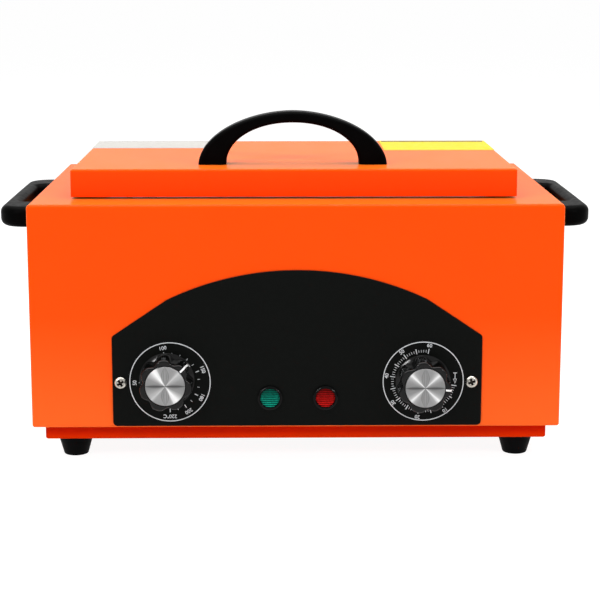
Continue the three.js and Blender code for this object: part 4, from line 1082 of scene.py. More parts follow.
def inlet_screw(side):
    node = f"inlet_screw_{side}"
    spot = middle(node)
    seat = Matrix.Translation((spot.x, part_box(node)[1].y - INLET_SCREW[1], spot.z))
    place_screw(node, seat @ Matrix.Rotation(math.radians(-90), 4, "X"), INLET_SCREW)


def lower_screw(node, sizes):
    """A screw that is driven in from below."""
    spot = middle(node)
    seat = Matrix.Translation((spot.x, spot.y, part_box(node)[0].z + sizes[1]))
    place_screw(node, seat @ Matrix.Rotation(math.pi, 4, "X"), sizes)


for side_name in SIDES:
    panel_screw(side_name)
    inlet_screw(side_name)
    for end_name in ("front", "rear"):
        lower_screw(f"foot_screw_{end_name}_{side_name}", FOOT_SCREW)
        lower_screw(f"base_screw_{end_name}_{side_name}", SMALL_SCREW)


# Front panel

def offset_loop(points, distance):
    """A closed outline moved inwards by a distance. Its points run anticlockwise."""
    moved = []
    count = len(points)
    for i in range(count):
        before, here, after = (Vector(points[(i + k) % count]) for k in (-1, 0, 1))
        first = (here - before).normalized()
        second = (after - here).normalized()
        normal = Vector((-first.y, first.x)) + Vector((-second.y, second.x))
        normal.normalize()
        spread = max(normal.dot(Vector((-first.y, first.x))), LEAST_MITRE)
        moved.append(here + normal * distance / spread)
    return moved


def round_corner(before, corner, after, radius, steps=EASE_STEPS):
    """Points of a corner eased by a curve that starts and ends `radius` away from it."""
    corner = Vector(corner)
    start = corner + (Vector(before) - corner).normalized() * radius
    end = corner + (Vector(after) - corner).normalized() * radius
    shares = [i / steps for i in range(steps + 1)]
    return [start * (1 - t) ** 2 + corner * 2 * t * (1 - t) + end * t ** 2 for t in shares]


def panel_outline():
    """The panel seen from the front, anticlockwise, from its lower left corner."""
    left, right = panel_low.x, panel_high.x
    low, top = panel_low.z, panel_high.z
    radius = PANEL_CORNER_RADIUS
    centre = ((left + right) / 2, top - PANEL_ARC_RADIUS)
    reach = math.degrees(math.asin(PANEL_ARC_HALF / PANEL_ARC_RADIUS))
    arc = arc_points(centre, PANEL_ARC_RADIUS, 90 - reach, 90 + reach, ARCH_STEPS)
    shoulder_z = low + PANEL_SHOULDER
    points = arc_points((left + radius, low + radius), radius, 180, 270, CORNER_STEPS)
    points += arc_points((right - radius, low + radius), radius, 270, 360, CORNER_STEPS)
    points += round_corner((right, low), (right, shoulder_z), arc[0], PANEL_SHOULDER_RADIUS)
    points += arc
    points += round_corner(arc[-1], (left, shoulder_z), (left, low), PANEL_SHOULDER_RADIUS)
    return points


def front_panel():
    outline = panel_outline()
    back = panel_high.y
    inner = offset_loop(outline, PANEL_EDGE)
    loops = ((outline, back), (outline, panel_face + PANEL_EDGE), (inner, panel_face))
    panel = ring_object("front_panel_fine", [[Vector((x, y, z)) for x, z in loop] for loop, y in loops])
    bm = bmesh.new()
    for node, radius in FRONT_HOLES:
        drill(bm, node, "y", (panel_face - OVERRUN, back + OVERRUN), radius + CLEARANCE)
    carve(panel, object_from("panel_holes", bm))
    dress(panel, panel_black, "root", "panel_black", "front_panel", angle=SHEET_ANGLE)


front_panel()


# Dial print: thin solids on the panel, each made in the dial's own frame


def add_slab(bm, points):
    """Adds a thin slab over a flat outline, sunk a little into what carries it."""
    add_rings(bm, [[Vector((x, y, z)) for x, y in points] for z in (-PRINT_SINK, PRINT_LIFT)])


def add_tick(bm, angle, span, width):
    along = Vector((math.cos(angle), math.sin(angle)))
    across = Vector((-along.y, along.x)) * width / 2
    near, far = along * span[0], along * span[1]
    add_slab(bm, [near - across, far - across, far + across, near + across])


def add_figure(bm, text, angle, radius, size=FIGURE_SIZE):
    """Adds a figure whose top points away from the dial's middle."""
    curve = bpy.data.curves.new("figure", "FONT")
    curve.body = text
    curve.size = size
    curve.align_x = "CENTER"
    curve.align_y = "CENTER"
    curve.extrude = (PRINT_LIFT + PRINT_SINK) / 2
    curve.offset = size * FIGURE_BOLDNESS
    curve.resolution_u = 3
    figure = bpy.data.objects.new("figure", curve)
    bpy.context.scene.collection.objects.link(figure)
    bpy.context.view_layer.update()
    graph = bpy.context.evaluated_depsgraph_get()
    mesh = bpy.data.meshes.new_from_object(figure.evaluated_get(graph))
    level = (PRINT_LIFT - PRINT_SINK) / 2
    place = Vector((radius * math.cos(angle), radius * math.sin(angle), level))
    mesh.transform(Matrix.Translation(place) @ Matrix.Rotation(angle - math.pi / 2, 4, "Z"))
    bm.from_mesh(mesh)
    bpy.data.objects.remove(figure)
    bpy.data.curves.remove(curve)
    bpy.data.meshes.remove(mesh)


def add_print_ring(bm):
    rings = []
    inner = RING_RADIUS - RING_WIDTH
    for radius, z in (
        (RING_RADIUS, -PRINT_SINK), (RING_RADIUS, PRINT_LIFT), (inner, PRINT_LIFT), (inner, -PRINT_SINK)
    ):
        rings.append(circle(radius, z, ROUND_STEPS * 2))
    add_rings(bm, rings, closed=True)


def temperature_print():
    bm = bmesh.new()
    add_print_ring(bm)
    for value in range(TEMPERATURE_LOW, TEMPERATURE_HIGH + 1, TEMPERATURE_STEP):
        angle = -math.radians(TEMPERATURE_START + DEGREES_PER_CELSIUS * (value - TEMPERATURE_LOW))
        figured = value in TEMPERATURE_FIGURES
        span = TEMPERATURE_LONG_TICK if figured else TEMPERATURE_SHORT_TICK
        add_tick(bm, angle, span, LONG_TICK_WIDTH if figured else SHORT_TICK_WIDTH)
        if figured:
            text = f"{value}°C" if value == TEMPERATURE_HIGH else str(value)
            add_figure(bm, text, angle, TEMPERATURE_FIGURE_RADIUS)
    place_print("temperature_scale", bm, -1)


def timer_print():
    bm = bmesh.new()
    add_print_ring(bm)
    for value in range(TIMER_END + 1):
        angle = -math.radians(TIMER_START + DEGREES_PER_MINUTE * value)
        long_tick = value % TIMER_LONG_STEP == 0
        width = LONG_TICK_WIDTH if long_tick else SHORT_TICK_WIDTH
        add_tick(bm, angle, LONG_TICK if long_tick else SHORT_TICK, width)
        if value % TIMER_FIGURE_STEP == 0 and value > 0:
            add_figure(bm, str(value), angle, TIMER_FIGURE_RADIUS)
    add_timer_arrow(bm)
    place_print("timer_scale", bm, 1)


def add_timer_arrow(bm):
    """A plain arrow that points at the timer's zero."""
    left, right = ARROW_X - ARROW_HALF_WIDTH, ARROW_X + ARROW_HALF_WIDTH
    triangle = [(ARROW_X, ARROW_TIP), (right, ARROW_BASE), (left, ARROW_BASE)]
    inner = [tuple(point) for point in offset_loop(triangle, ARROW_LINE)]
    rings = [[Vector((x, y, z)) for x, y in loop] for loop, z in (
        (triangle, -PRINT_SINK), (triangle, PRINT_LIFT), (inner, PRINT_LIFT), (inner, -PRINT_SINK))]
    add_rings(bm, rings, closed=True)
    add_slab(bm, plan_box(ARROW_X - ARROW_STEM, ARROW_BASE, ARROW_X + ARROW_STEM, ARROW_TOP))
    add_slab(bm, plan_box(left, ARROW_TOP, right, ARROW_TOP + ARROW_BAR))


def place_print(name, bm, side):
    """Both dials stand level with the timer's shaft and mirror each other about the case's middle."""
    spot = middle("timer_knob_cap")
    obj = object_from(name, bm)
    obj.matrix_world = facing_front(side * spot.x + PRINT_SHIFTS[side], spot.z)
    dress(obj, ink, "root", "panel_black")


temperature_print()
timer_print()


# Knobs

def lobe_radius(angle):
    """Radius of the fluted grip at an angle from the middle of a lobe."""
    return KNOB_LOBE_RADIUS - KNOB_FLUTE_DEPTH * ((1 - math.cos(KNOB_LOBES * angle)) / 2) ** 2


def lobed_ring(inset, z, lobed=True):
    """A ring of the fluted grip, or of the round skirt where `lobed` is false."""
    points = []
    count = KNOB_LOBES * LOBE_STEPS
    for i in range(count):
        angle = 2 * math.pi * i / count
        radius = (lobe_radius(angle) if lobed else KNOB_DISC_RADIUS) - inset
        points.append(Vector((radius * math.cos(angle), radius * math.sin(angle), z)))
    return points


def on_skirt(ring, lift):
    """A ring laid on the skirt's gently domed slope, which falls towards its edge."""
    low = KNOB_LIFT + SKIRT_EDGE_RISE
    width = KNOB_DISC_RADIUS - (KNOB_LOBE_RADIUS - KNOB_FLUTE_DEPTH)
    curve = (SKIRT_EDGE_SLOPE - SKIRT_TOP_SLOPE) / (2 * width)
    points = []
    for p in ring:
        inset = KNOB_DISC_RADIUS - p.xy.length
        slope_height = SKIRT_EDGE_SLOPE * inset - curve * inset ** 2
        points.append(Vector((p.x, p.y, low + slope_height + lift)))
    return points


def knob_rings(height):
    count = KNOB_LOBES * LOBE_STEPS
    face = height - CAP_PROUD
    cap_floor = height - CAP_THICKNESS - SEAT
    eased = KNOB_FOOT_RADIUS
    bore = SHAFT_RADIUS + CLEARANCE
    rings = [circle(0, SHAFT_REACH + CLEARANCE)]
    rings += [circle(bore, SHAFT_REACH + CLEARANCE, count), circle(bore, KNOB_HOLLOW_DEPTH, count)]
    rings += [circle(KNOB_HOLLOW_RADIUS, z, count) for z in (KNOB_HOLLOW_DEPTH, KNOB_LIFT)]
    rings += [lobed_ring(eased, KNOB_LIFT, False), lobed_ring(0, KNOB_LIFT + eased, False)]
    edge = circle(KNOB_DISC_RADIUS, 0, count)
    foot_ring = lobed_ring(-KNOB_FILLET, 0)
    for step in range(SKIRT_STEPS + 1):
        share = step / SKIRT_STEPS
        rings.append(on_skirt([a.lerp(b, share) for a, b in zip(edge, foot_ring)], 0))
    for out, up in KNOB_FILLET_STEPS:
        rings.append(on_skirt(lobed_ring(-out * KNOB_FILLET, 0), up * KNOB_FILLET))
    for inset, z in shoulder(0, face, KNOB_EDGE_RADIUS, 1):
        rings.append(lobed_ring(inset, z))
    recess = CAP_RADIUS + CLEARANCE / 2
    chamfer = CAP_SEAT_CHAMFER
    rings += [circle(recess + chamfer, face, count), circle(recess, face - chamfer, count)]
    rings += [circle(recess, cap_floor, count), circle(0, cap_floor)]
    return rings


def pointer(height, slant):
    """White line from the cap's edge over the grip. With a slant it runs on down the grip's side."""
    disc_top = KNOB_LIFT + KNOB_DISC_THICKNESS
    face = height - CAP_PROUD
    path = [(CAP_RADIUS + POINTER_GAP, face, 0)]
    for inset, z in reversed(shoulder(0, face, KNOB_EDGE_RADIUS, 1)):
        path.append((KNOB_LOBE_RADIUS - inset, z, 0))
    if slant:
        edge = face - KNOB_EDGE_RADIUS
        for step in range(1, POINTER_STEPS + 1):
            share = step / POINTER_STEPS
            radius = lobe_radius(math.radians(slant * share))
            path.append((radius, edge + (disc_top - edge) * share, slant * share))
    rings = []
    for i, (x, z, angle) in enumerate(path):
        before = Vector(path[max(i - 1, 0)][:2])
        after = Vector(path[min(i + 1, len(path) - 1)][:2])
        along = (after - before).normalized()
        normal = Vector((-along.y, along.x))
        if normal.dot(Vector((1, 1))) < 0:
            normal.negate()
        turn = Matrix.Rotation(math.radians(angle), 3, "Z")
        ring = []
        for across, lift in ((-1, -1), (1, -1), (1, 1), (-1, 1)):
            place = Vector((x, z)) + normal * PRINT_LIFT * lift
            ring.append(turn @ Vector((place.x, across * POINTER_WIDTH / 2, place.y)))
        rings.append(ring)
    return rings


def knob(node, body, rest, slant, metal):
    cap_node = f"{node}_cap"
    spot = middle(cap_node)
    height = panel_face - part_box(cap_node)[0].y
    place = facing_front(spot.x, spot.z, panel_face, rest)
    grip = ring_object(f"{node}_fine", knob_rings(height))
    grip.matrix_world = place
    dress(grip, knob_black, body, "knob_black", node, angle=GRIP_ANGLE)
    line = ring_object(f"{node}_pointer", pointer(height, slant))
    line.matrix_world = place
    dress(line, pointer_ink, body, "knob_black")
    profile = [(0, height - CAP_THICKNESS), (CAP_RADIUS, height - CAP_THICKNESS)]
    bevel_mid = (CAP_RADIUS - CAP_BEVEL, height - CAP_BEVEL)
    profile += arc_points(bevel_mid, CAP_BEVEL, 0, 90, BEVEL_STEPS) + [(0, height)]
    cap = turned(f"{cap_node}_fine", profile, ROUND_STEPS * 2)
    cap.matrix_world = facing_front(spot.x, spot.z)
    dress(cap, metal, body, "spun_aluminium", cap_node, angle=ROUND_ANGLE)


knob("temperature_knob", "temperature_control", TEMPERATURE_REST, POINTER_SLANT, broad_aluminium)
knob("timer_knob", "timer_control", TIMER_REST, 0, even_aluminium)


# Pilot lamps

def lamp_bezel(side):
    """Round bezel with a domed outer face, and the barrel behind it that the lens sits in."""
    mouth = LAMP_LENS_RADIUS + LENS_GAP
    lip = LAMP_CROWN_RADIUS - mouth
    profile = [(0, -LAMP_BODY_LENGTH), (LAMP_BODY_RADIUS, -LAMP_BODY_LENGTH), (LAMP_BODY_RADIUS, SEAT)]
    profile += [(LAMP_BEZEL_RADIUS, SEAT)]
    slope_points = [(LAMP_CROWN_RADIUS, LAMP_BEZEL_HEIGHT)]
    run = (LAMP_BEZEL_RADIUS - LAMP_CROWN_RADIUS) / BEZEL_STEPS
    for step in range(BEZEL_STEPS):
        tilt = BEZEL_TOP_TILT + (BEZEL_EDGE_TILT - BEZEL_TOP_TILT) * step / (BEZEL_STEPS - 1)
        radius, height = slope_points[-1]
        slope_points.append((radius + run, height - math.tan(math.radians(tilt)) * run))
    profile += list(reversed(slope_points))
    profile += arc_points((LAMP_CROWN_RADIUS, LAMP_BEZEL_HEIGHT - lip), lip, 90, 180, LIP_STEPS)[1:]
    profile += [(mouth, -LAMP_CUP_DEPTH), (0, -LAMP_CUP_DEPTH)]
    bezel = turned(f"lamp_housing_{side}_fine", profile)
    spot = middle(f"lamp_lens_{side}")
    bezel.matrix_world = facing_front(spot.x, spot.z)
    dress(bezel, lamp_black, "root", "lamp_black", f"lamp_housing_{side}", angle=BEZEL_ANGLE)


def lamp_lens(side, finish, slot):
    """Lens with level ribs across its domed face, clipped to a round outline."""
    node = f"lamp_lens_{side}"
    top = panel_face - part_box(node)[0].y
    low = SEAT - LAMP_CUP_DEPTH
    half = LAMP_LENS_RADIUS + RIB_PITCH
    across = [half * (i / LENS_COLUMNS - 1) for i in range(2 * LENS_COLUMNS + 1)]
    count = math.ceil(half / RIB_PITCH) * RIB_STEPS
    along = [RIB_PITCH * j / RIB_STEPS for j in range(-count, count + 1)]
    bm = bmesh.new()
    grid = []
    for y in along:
        groove = RIB_DEPTH * (1 - math.cos(2 * math.pi * y / RIB_PITCH)) / 2
        row = []
        for x in across:
            crown = LENS_CROWN * (x * x + y * y) / LAMP_LENS_RADIUS ** 2
            row.append(bm.verts.new((x, y, top - crown - groove)))
        grid.append(row)
    for lower, upper in zip(grid, grid[1:]):
        for i in range(len(across) - 1):
            bm.faces.new((lower[i], lower[i + 1], upper[i + 1], upper[i]))
    rim = list(grid[0]) + [row[-1] for row in grid[1:]]
    rim += list(reversed(grid[-1][:-1])) + [row[0] for row in reversed(grid[1:-1])]
    floor = [bm.verts.new((vert.co.x, vert.co.y, low)) for vert in rim]
    for i in range(len(rim)):
        j = (i + 1) % len(rim)
        bm.faces.new((rim[i], rim[j], floor[j], floor[i]))
    bm.faces.new(floor)
    lens_object = object_from(f"{node}_fine", bm)
    tool = turned("lens_outline", [
        (0, low - OVERRUN), (LAMP_LENS_RADIUS, low - OVERRUN),
        (LAMP_LENS_RADIUS, top + OVERRUN), (0, top + OVERRUN),
    ])
    carve(lens_object, tool, "INTERSECT")
    spot = middle(node)
    lens_object.matrix_world = facing_front(spot.x, spot.z)
    dress(lens_object, finish, "root", slot, node, angle=ROUND_ANGLE)


lamp_bezel("left")
lamp_lens("left", green_lens, "lens_green")
lamp_bezel("right")
lamp_lens("right", red_lens, "lens_red")


# Lid

def lid_shell():
    low, top = lid_low.z, lid_high.z
    profile = shoulder(LID_SHEET, top - LID_SHEET, LID_TOP_RADIUS - LID_SHEET, 1)[::-1]
    profile += [(LID_SHEET, low)]
    profile += reversed(shoulder(0, low, LID_FOLD_RADIUS, -1, BEVEL_STEPS))
    profile += shoulder(0, top, LID_TOP_RADIUS, 1)
    rings = folded_rings(half_size("lid_shell"), LID_CORNER_RADIUS, profile, lid_mid)
    shell = ring_object("lid_shell_fine", rings)
    bm = bmesh.new()
    for side in SIDES:
        span = (top - LID_SHEET - OVERRUN, top + OVERRUN)
        drill(bm, f"lid_handle_screw_{side}", "z", span, WIDE_SCREW_HOLE)
    carve(shell, object_from("lid_holes", bm))
    dress(shell, paint, "lid", "orange_paint", "lid_shell", angle=SHEET_ANGLE)


def lid_liner():
    low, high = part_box("lid_liner")
    inner = LINER_EDGE_RADIUS - LINER_SHEET
    profile = shoulder(LINER_SHEET, low.z + LINER_SHEET, inner, -1)[::-1]
    profile += [(LINER_SHEET, high.z), (0, high.z)]
    profile += shoulder(0, low.z, LINER_EDGE_RADIUS, -1)
    rings = folded_rings(half_size("lid_liner"), LID_CORNER_RADIUS * 2, profile, lid_mid)
    liner = ring_object("lid_liner_fine", rings)
    dress(liner, steel_across, "lid", "stainless", "lid_liner", angle=SHEET_ANGLE)


def lid_seal():
    """Silicone seal with rounded edges, closed round the chamber's mouth."""
    low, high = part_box("lid_seal")
    radius = TANK_CORNER_RADIUS + TANK_SHEET + SEAL_WIDTH
    outer = shoulder(0, low.z, SEAL_EDGE_RADIUS, -1, EASE_STEPS)[::-1]
    outer += shoulder(0, high.z, SEAL_BACK_RADIUS, 1, 2)
    inner = [(SEAL_WIDTH - inset, z) for inset, z in reversed(outer)]
    rings = folded_rings(half_size("lid_seal"), radius, outer + inner, lid_mid)
    seal = ring_object("lid_seal_fine", rings, closed=True)
    dress(seal, seal_rubber, "lid", "silicone", "lid_seal", angle=ROUND_ANGLE)


lid_shell()
lid_liner()
lid_seal()


def arch_point(half_width, height, angle, share):
    """A point of a half ellipse made slimmer by a share above 1, or fuller by one below it."""
    across = math.copysign(abs(math.cos(angle)) ** share, math.cos(angle))
    return Vector((half_width * across, height * max(math.sin(angle), 0) ** share))


def lid_handle():
    """Arch lofted between a slim and a full half ellipse, with rounded edges and wide feet."""
    low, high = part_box("lid_handle")
    centre = middle("lid_handle")
    half = half_size("lid_handle")
    height = high.z - low.z
    rings = []
    for i in range(HANDLE_STEPS + 1):
        angle = math.pi * i / HANDLE_STEPS
        outer = arch_point(half.x, height, angle, ARCH_OUTER_SHARE)
        inner_half = half.x - LID_HANDLE_FOOT
        inner = arch_point(inner_half, height - LID_HANDLE_TOP, angle, ARCH_INNER_SHARE)
        along = (outer - inner).normalized()
        mid = (outer + inner) / 2
        half_band = (outer - inner).length / 2
        edge = min(LID_HANDLE_EDGE, half_band * FULLEST_EDGE, half.y * FULLEST_EDGE)
        ring = []
        for u, v in rounded_section(half_band, half.y, edge):
            place = mid + along * u
            ring.append(Vector((centre.x + place.x, centre.y + v, low.z + place.y)))
        rings.append(ring)
    handle = ring_object("lid_handle_fine", rings)
    dress(handle, handle_black, "lid", "handle_black", "lid_handle", angle=ARCH_ANGLE)


lid_handle()


# Side handles

def quadratic(start, control, end, steps):
    """Points of a curve that leaves the start and reaches the end, without the start."""
    points = []
    for i in range(1, steps + 1):
        t = i / steps
        points.append(tuple(
            (1 - t) ** 2 * a + 2 * t * (1 - t) * b + t * t * c for a, b, c in zip(start, control, end)
        ))
    return points


def grip_outline(half):
    """Plan of a right-hand handle, anticlockwise, with the case's wall at x = 0."""
    radius, ease = GRIP_CORNER_RADIUS, GRIP_INNER_RADIUS
    end = GRIP_END_REACH
    bow = GRIP_MIDDLE_REACH * 2 - end
    inner, inner_half = end - GRIP_BAR, half - GRIP_POST
    buried = -GRIP_EDGE_RADIUS * 2
    corner, bend = GRIP_CORNER_STEPS, GRIP_INNER_CORNER_STEPS
    points = [(buried, -half)]
    points += arc_points((end - radius, -half + radius), radius, -90, 0, corner)
    points += quadratic(points[-1], (bow, 0), (end, half - radius), GRIP_BOW_STEPS)
    points += arc_points((end - radius, half - radius), radius, 0, 90, corner)[1:]
    points += [(buried, half), (buried, inner_half), (inner - ease, inner_half)]
    points += quadratic(points[-1], (inner, inner_half), (inner, inner_half - ease), bend)
    middle_point = (bow - GRIP_BAR, 0)
    points += quadratic(points[-1], middle_point, (inner, ease - inner_half), GRIP_INNER_BOW_STEPS)
    points += quadratic(points[-1], (inner, -inner_half), (inner - ease, -inner_half), bend)
    points += [(buried, -inner_half)]
    return points


def side_handle(side):
    node = f"side_handle_{side}"
    spot, half = middle(node), half_size(node)
    outline = grip_outline(half.y)
    upper = shoulder(0, half.z, GRIP_EDGE_RADIUS, 1, GRIP_EDGE_STEPS)
    levels = [(inset, -z) for inset, z in reversed(upper)] + upper
    rings = []
    for inset, z in levels:
        rings.append([Vector((x, y, z)) for x, y in offset_loop(outline, inset)])
    grip = ring_object(f"{node}_fine", rings)
    reach = half.y * 2
    bm = bmesh.new()
    add_box(bm, (-GRIP_MIDDLE_REACH, -reach, -reach), (SEAT, reach, reach))
    carve(grip, object_from("wall", bm))
    turn = Matrix.Identity(4) if side == "right" else Matrix.Rotation(math.pi, 4, "Z")
    wall = case_high.x if side == "right" else case_low.x
    grip.matrix_world = Matrix.Translation((wall, spot.y, spot.z)) @ turn
    dress(grip, handle_black, "root", "handle_black", node, angle=ROUND_ANGLE)


side_handle("left")
side_handle("right")


# Labels on the lid

def label(name, x_low, x_high, y_low, y_high, finish):
    bm = bmesh.new()
    half_x, half_y = (x_high - x_low) / 2, (y_high - y_low) / 2
    centre = ((x_low + x_high) / 2, (y_low + y_high) / 2)
    top = lid_high.z
    levels = (top - PRINT_SINK, top + LABEL_THICKNESS)
    rings = [rectangle_ring(half_x, half_y, LABEL_CORNER_RADIUS, z, centre) for z in levels]
    add_rings(bm, rings)
    dress(object_from(name, bm), finish, "lid", "orange_paint")


def label_marks(name, boxes, finish):
    """Flat marks on a label, each from two corners in plan."""
    bm = bmesh.new()
    top = lid_high.z + LABEL_THICKNESS
    for x_low, x_high, y_low, y_high in boxes:
        add_box(bm, (x_low, y_low, top - PRINT_SINK), (x_high, y_high, top + PRINT_LIFT))
    dress(object_from(name, bm), finish, "lid", "orange_paint")


def frame_boxes(x_low, x_high, y_low, y_high, width):
    """The four sides of a ruled frame, in plan, without overlaps."""
    return [
        (x_low, x_high, y_low, y_low + width),
        (x_low, x_high, y_high - width, y_high),
        (x_low, x_low + width, y_low + width, y_high - width),
        (x_high - width, x_high, y_low + width, y_high - width),
    ]


def labels():
    rear = lid_high.y - LABEL_MARGIN
    left = lid_low.x + LABEL_MARGIN
    right = lid_high.x - LABEL_MARGIN
    label("white_label", left, left + WHITE_LABEL_WIDTH, rear - WHITE_LABEL_DEPTH, rear, label_white)
    margin = LABEL_RULE_MARGIN
    x_low, x_high = left + margin, left + WHITE_LABEL_WIDTH - margin
    y_low, y_high = rear - WHITE_LABEL_DEPTH + margin, rear - margin
    rules = frame_boxes(x_low, x_high, y_low, y_high, LABEL_RULE)
    split = (x_low + x_high) / 2
    half = LABEL_RULE / 2
    rules.append((split - half, split + half, y_low + LABEL_RULE, y_high - LABEL_RULE))
    label_marks("white_label_rules", rules, label_grey)
    start = right - YELLOW_LABEL_WIDTH
    label("yellow_label", start, right, rear - YELLOW_LABEL_DEPTH, rear, label_yellow)
    edge = YELLOW_BAND_MARGIN
    band = [(start + edge, right - edge, rear - YELLOW_BAND_DEPTH, rear - edge)]
    label_marks("yellow_label_band", band, label_dark)


labels()


# Hinge

def hinge_leaf(node, parity, upright, body):
    """A leaf with its share of the knuckles round the pin."""
    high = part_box(node)[1]
    bm = bmesh.new()
    base, rear = pin_mid.z - HINGE_KNUCKLE_RADIUS, pin_mid.y - HINGE_KNUCKLE_RADIUS
    start = HINGE_KNUCKLE_RADIUS + CLEARANCE * 2
    if upright:
        add_box(bm, (pin_low.x, rear, pin_mid.z + start), (pin_high.x, rear + HINGE_LEAF, high.z))
    else:
        add_box(bm, (pin_low.x, pin_mid.y + start, base), (pin_high.x, high.y, base + HINGE_LEAF))
    for index in range(parity, HINGE_KNUCKLES, 2):
        left = pin_low.x + index * knuckle_pitch + CLEARANCE / 2
        right = left + knuckle_pitch - CLEARANCE
        add_knuckle(bm, left, right)
        if upright:
            tab_low = (left, rear, pin_mid.z + HINGE_PIN_RADIUS)
            tab_high = (right, rear + HINGE_LEAF, pin_mid.z + start)
        else:
            tab_low = (left, pin_mid.y + HINGE_PIN_RADIUS, base)
            tab_high = (right, pin_mid.y + start, base + HINGE_LEAF)
        add_box(bm, tab_low, tab_high)
    leaf = object_from(f"{node}_fine", bm)
    dress(leaf, plated, body, "plated_steel", node, angle=METAL_ANGLE)


def add_knuckle(bm, left, right):
    """Adds a tube round the hinge's axis."""
    bore = HINGE_PIN_RADIUS + CLEARANCE / 2
    outside = HINGE_KNUCKLE_RADIUS
    rings = []
    for x, radius in ((left, bore), (left, outside), (right, outside), (right, bore)):
        points = circle(radius, 0, SMALL_STEPS)
        rings.append([Vector((x, pin_mid.y + p.x, pin_mid.z + p.y)) for p in points])
    add_rings(bm, rings, closed=True)


def hinge_pin():
    bm = bmesh.new()
    drill(bm, "hinge_pin", "x", (pin_low.x, pin_high.x), HINGE_PIN_RADIUS)
    pin = object_from("hinge_pin_fine", bm)
    dress(pin, plated, "root", "plated_steel", "hinge_pin", angle=METAL_ANGLE)


def rivets(name, places, turn, body):
    """A row of low rivet heads, each made facing up and turned."""
    heads = []
    profile = [(0, -RIVET_SINK), (RIVET_RADIUS, -RIVET_SINK)]
    for x, y in arc_points((0, 0), 1, 0, 90, EDGE_STEPS)[:-1]:
        profile.append((RIVET_RADIUS * x, RIVET_RISE * y))
    profile.append((0, RIVET_RISE))
    for place in places:
        head = turned("rivet", profile, RIVET_STEPS)
        head.matrix_basis = Matrix.Translation(place) @ turn
        heads.append(head)
    dress(join(name, heads), plated, body, "plated_steel", angle=METAL_ANGLE)


def hinge():
    hinge_leaf("hinge_leaf_fixed", 0, False, "root")
    hinge_leaf("hinge_leaf_lid", 1, True, "lid")
    hinge_pin()
    knuckle_x = [pin_low.x + knuckle_pitch * (index + 0.5) for index in range(HINGE_KNUCKLES)]
    fixed_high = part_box("hinge_leaf_fixed")[1]
    fixed_y = (pin_mid.y + HINGE_KNUCKLE_RADIUS + fixed_high.y) / 2 + RIVET_SHIFT
    fixed_z = pin_mid.z - HINGE_KNUCKLE_RADIUS + HINGE_LEAF
    fixed = [Vector((x, fixed_y, fixed_z)) for x in knuckle_x[::2]]
    rivets("hinge_rivets_fixed", fixed, Matrix.Identity(4), "root")
    lid_y = pin_mid.y - HINGE_KNUCKLE_RADIUS + HINGE_LEAF
    lid_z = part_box("hinge_leaf_lid")[1].z - RIVET_RADIUS - RIVET_MARGIN
    moving = [Vector((x, lid_y, lid_z)) for x in knuckle_x[1::2]]
    rivets("hinge_rivets_lid", moving, Matrix.Rotation(math.radians(-90), 4, "X"), "lid")


hinge()


# Mains inlet

def inlet_ring(points, y, x=0, z=0):
    """A ring of the inlet at one depth, from points round its middle."""
    return [Vector((inlet_mid.x + x + point[0], y, inlet_mid.z + z + point[1])) for point in points]


def inlet_housing():
    """Flanged housing with a socket whose two lower corners are cut off."""
    half = half_size("mains_inlet")
    back = inlet_back
    rings = []
    edge = INLET_EDGE_RADIUS
    soft = edge * (1 - math.cos(math.radians(45)))
    for y, inset in ((back - INLET_FLANGE, 0), (back - edge, 0), (back - soft, soft), (back, edge)):
        ring = rectangle_ring(half.x - inset, half.z - inset, INLET_CORNER_RADIUS - inset, 0)
        rings.append(inlet_ring(ring, y))
    housing = ring_object("mains_inlet_fine", rings)
    bm = bmesh.new()
    body_x, body_z = INLET_BODY_WIDTH / 2, INLET_BODY_HEIGHT / 2
    body_low = (inlet_mid.x - body_x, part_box("mains_inlet")[0].y, inlet_mid.z - body_z)
    add_box(bm, body_low, (inlet_mid.x + body_x, back - INLET_FLANGE / 2, inlet_mid.z + body_z))
    carve(housing, object_from("inlet_body", bm), "UNION")
    carve(housing, inlet_socket())
    holes = bmesh.new()
    for side in SIDES:
        span = (back - INLET_FLANGE - OVERRUN, back + OVERRUN)
        drill(holes, f"inlet_screw_{side}", "y", span, SMALL_SCREW_HOLE)
    carve(housing, object_from("inlet_holes", holes))
    dress(housing, inlet_black, "root", "inlet_black", "mains_inlet", angle=SHEET_ANGLE)


def inlet_socket():
    half_x, half_z = INLET_SOCKET_WIDTH / 2, INLET_SOCKET_HEIGHT / 2
    cut = INLET_SOCKET_CHAMFER
    outline = [
        (-half_x, half_z), (-half_x, -half_z + cut), (-half_x + cut, -half_z),
        (half_x - cut, -half_z), (half_x, -half_z + cut), (half_x, half_z),
    ]
    rings = [inlet_ring(outline, y) for y in (socket_floor, inlet_back + OVERRUN)]
    return ring_object("inlet_socket", rings)


def inlet_pins():
    root, tip = socket_floor - INLET_PIN_ROOT, socket_floor + INLET_PIN_REACH
    bm = bmesh.new()
    for x, z in ((-INLET_PIN_SPACING / 2, 0), (INLET_PIN_SPACING / 2, 0), (0, -INLET_EARTH_DROP)):
        rings = []
        for y, share in ((root, 1), (tip - INLET_PIN_TAPER, 1), (tip, INLET_PIN_TIP_SHARE)):
            half_x, half_z = INLET_PIN_WIDTH / 2 * share, INLET_PIN_HEIGHT / 2 * share
            ring = rectangle_ring(half_x, half_z, INLET_PIN_RADIUS, 0)
            rings.append(inlet_ring(ring, y, x, z))
        add_rings(bm, rings)
    pins = object_from("inlet_pins", bm)
    dress(pins, plated, "root", "plated_steel", angle=SHEET_ANGLE)


inlet_housing()
inlet_pins()


# Chamber tank and tray

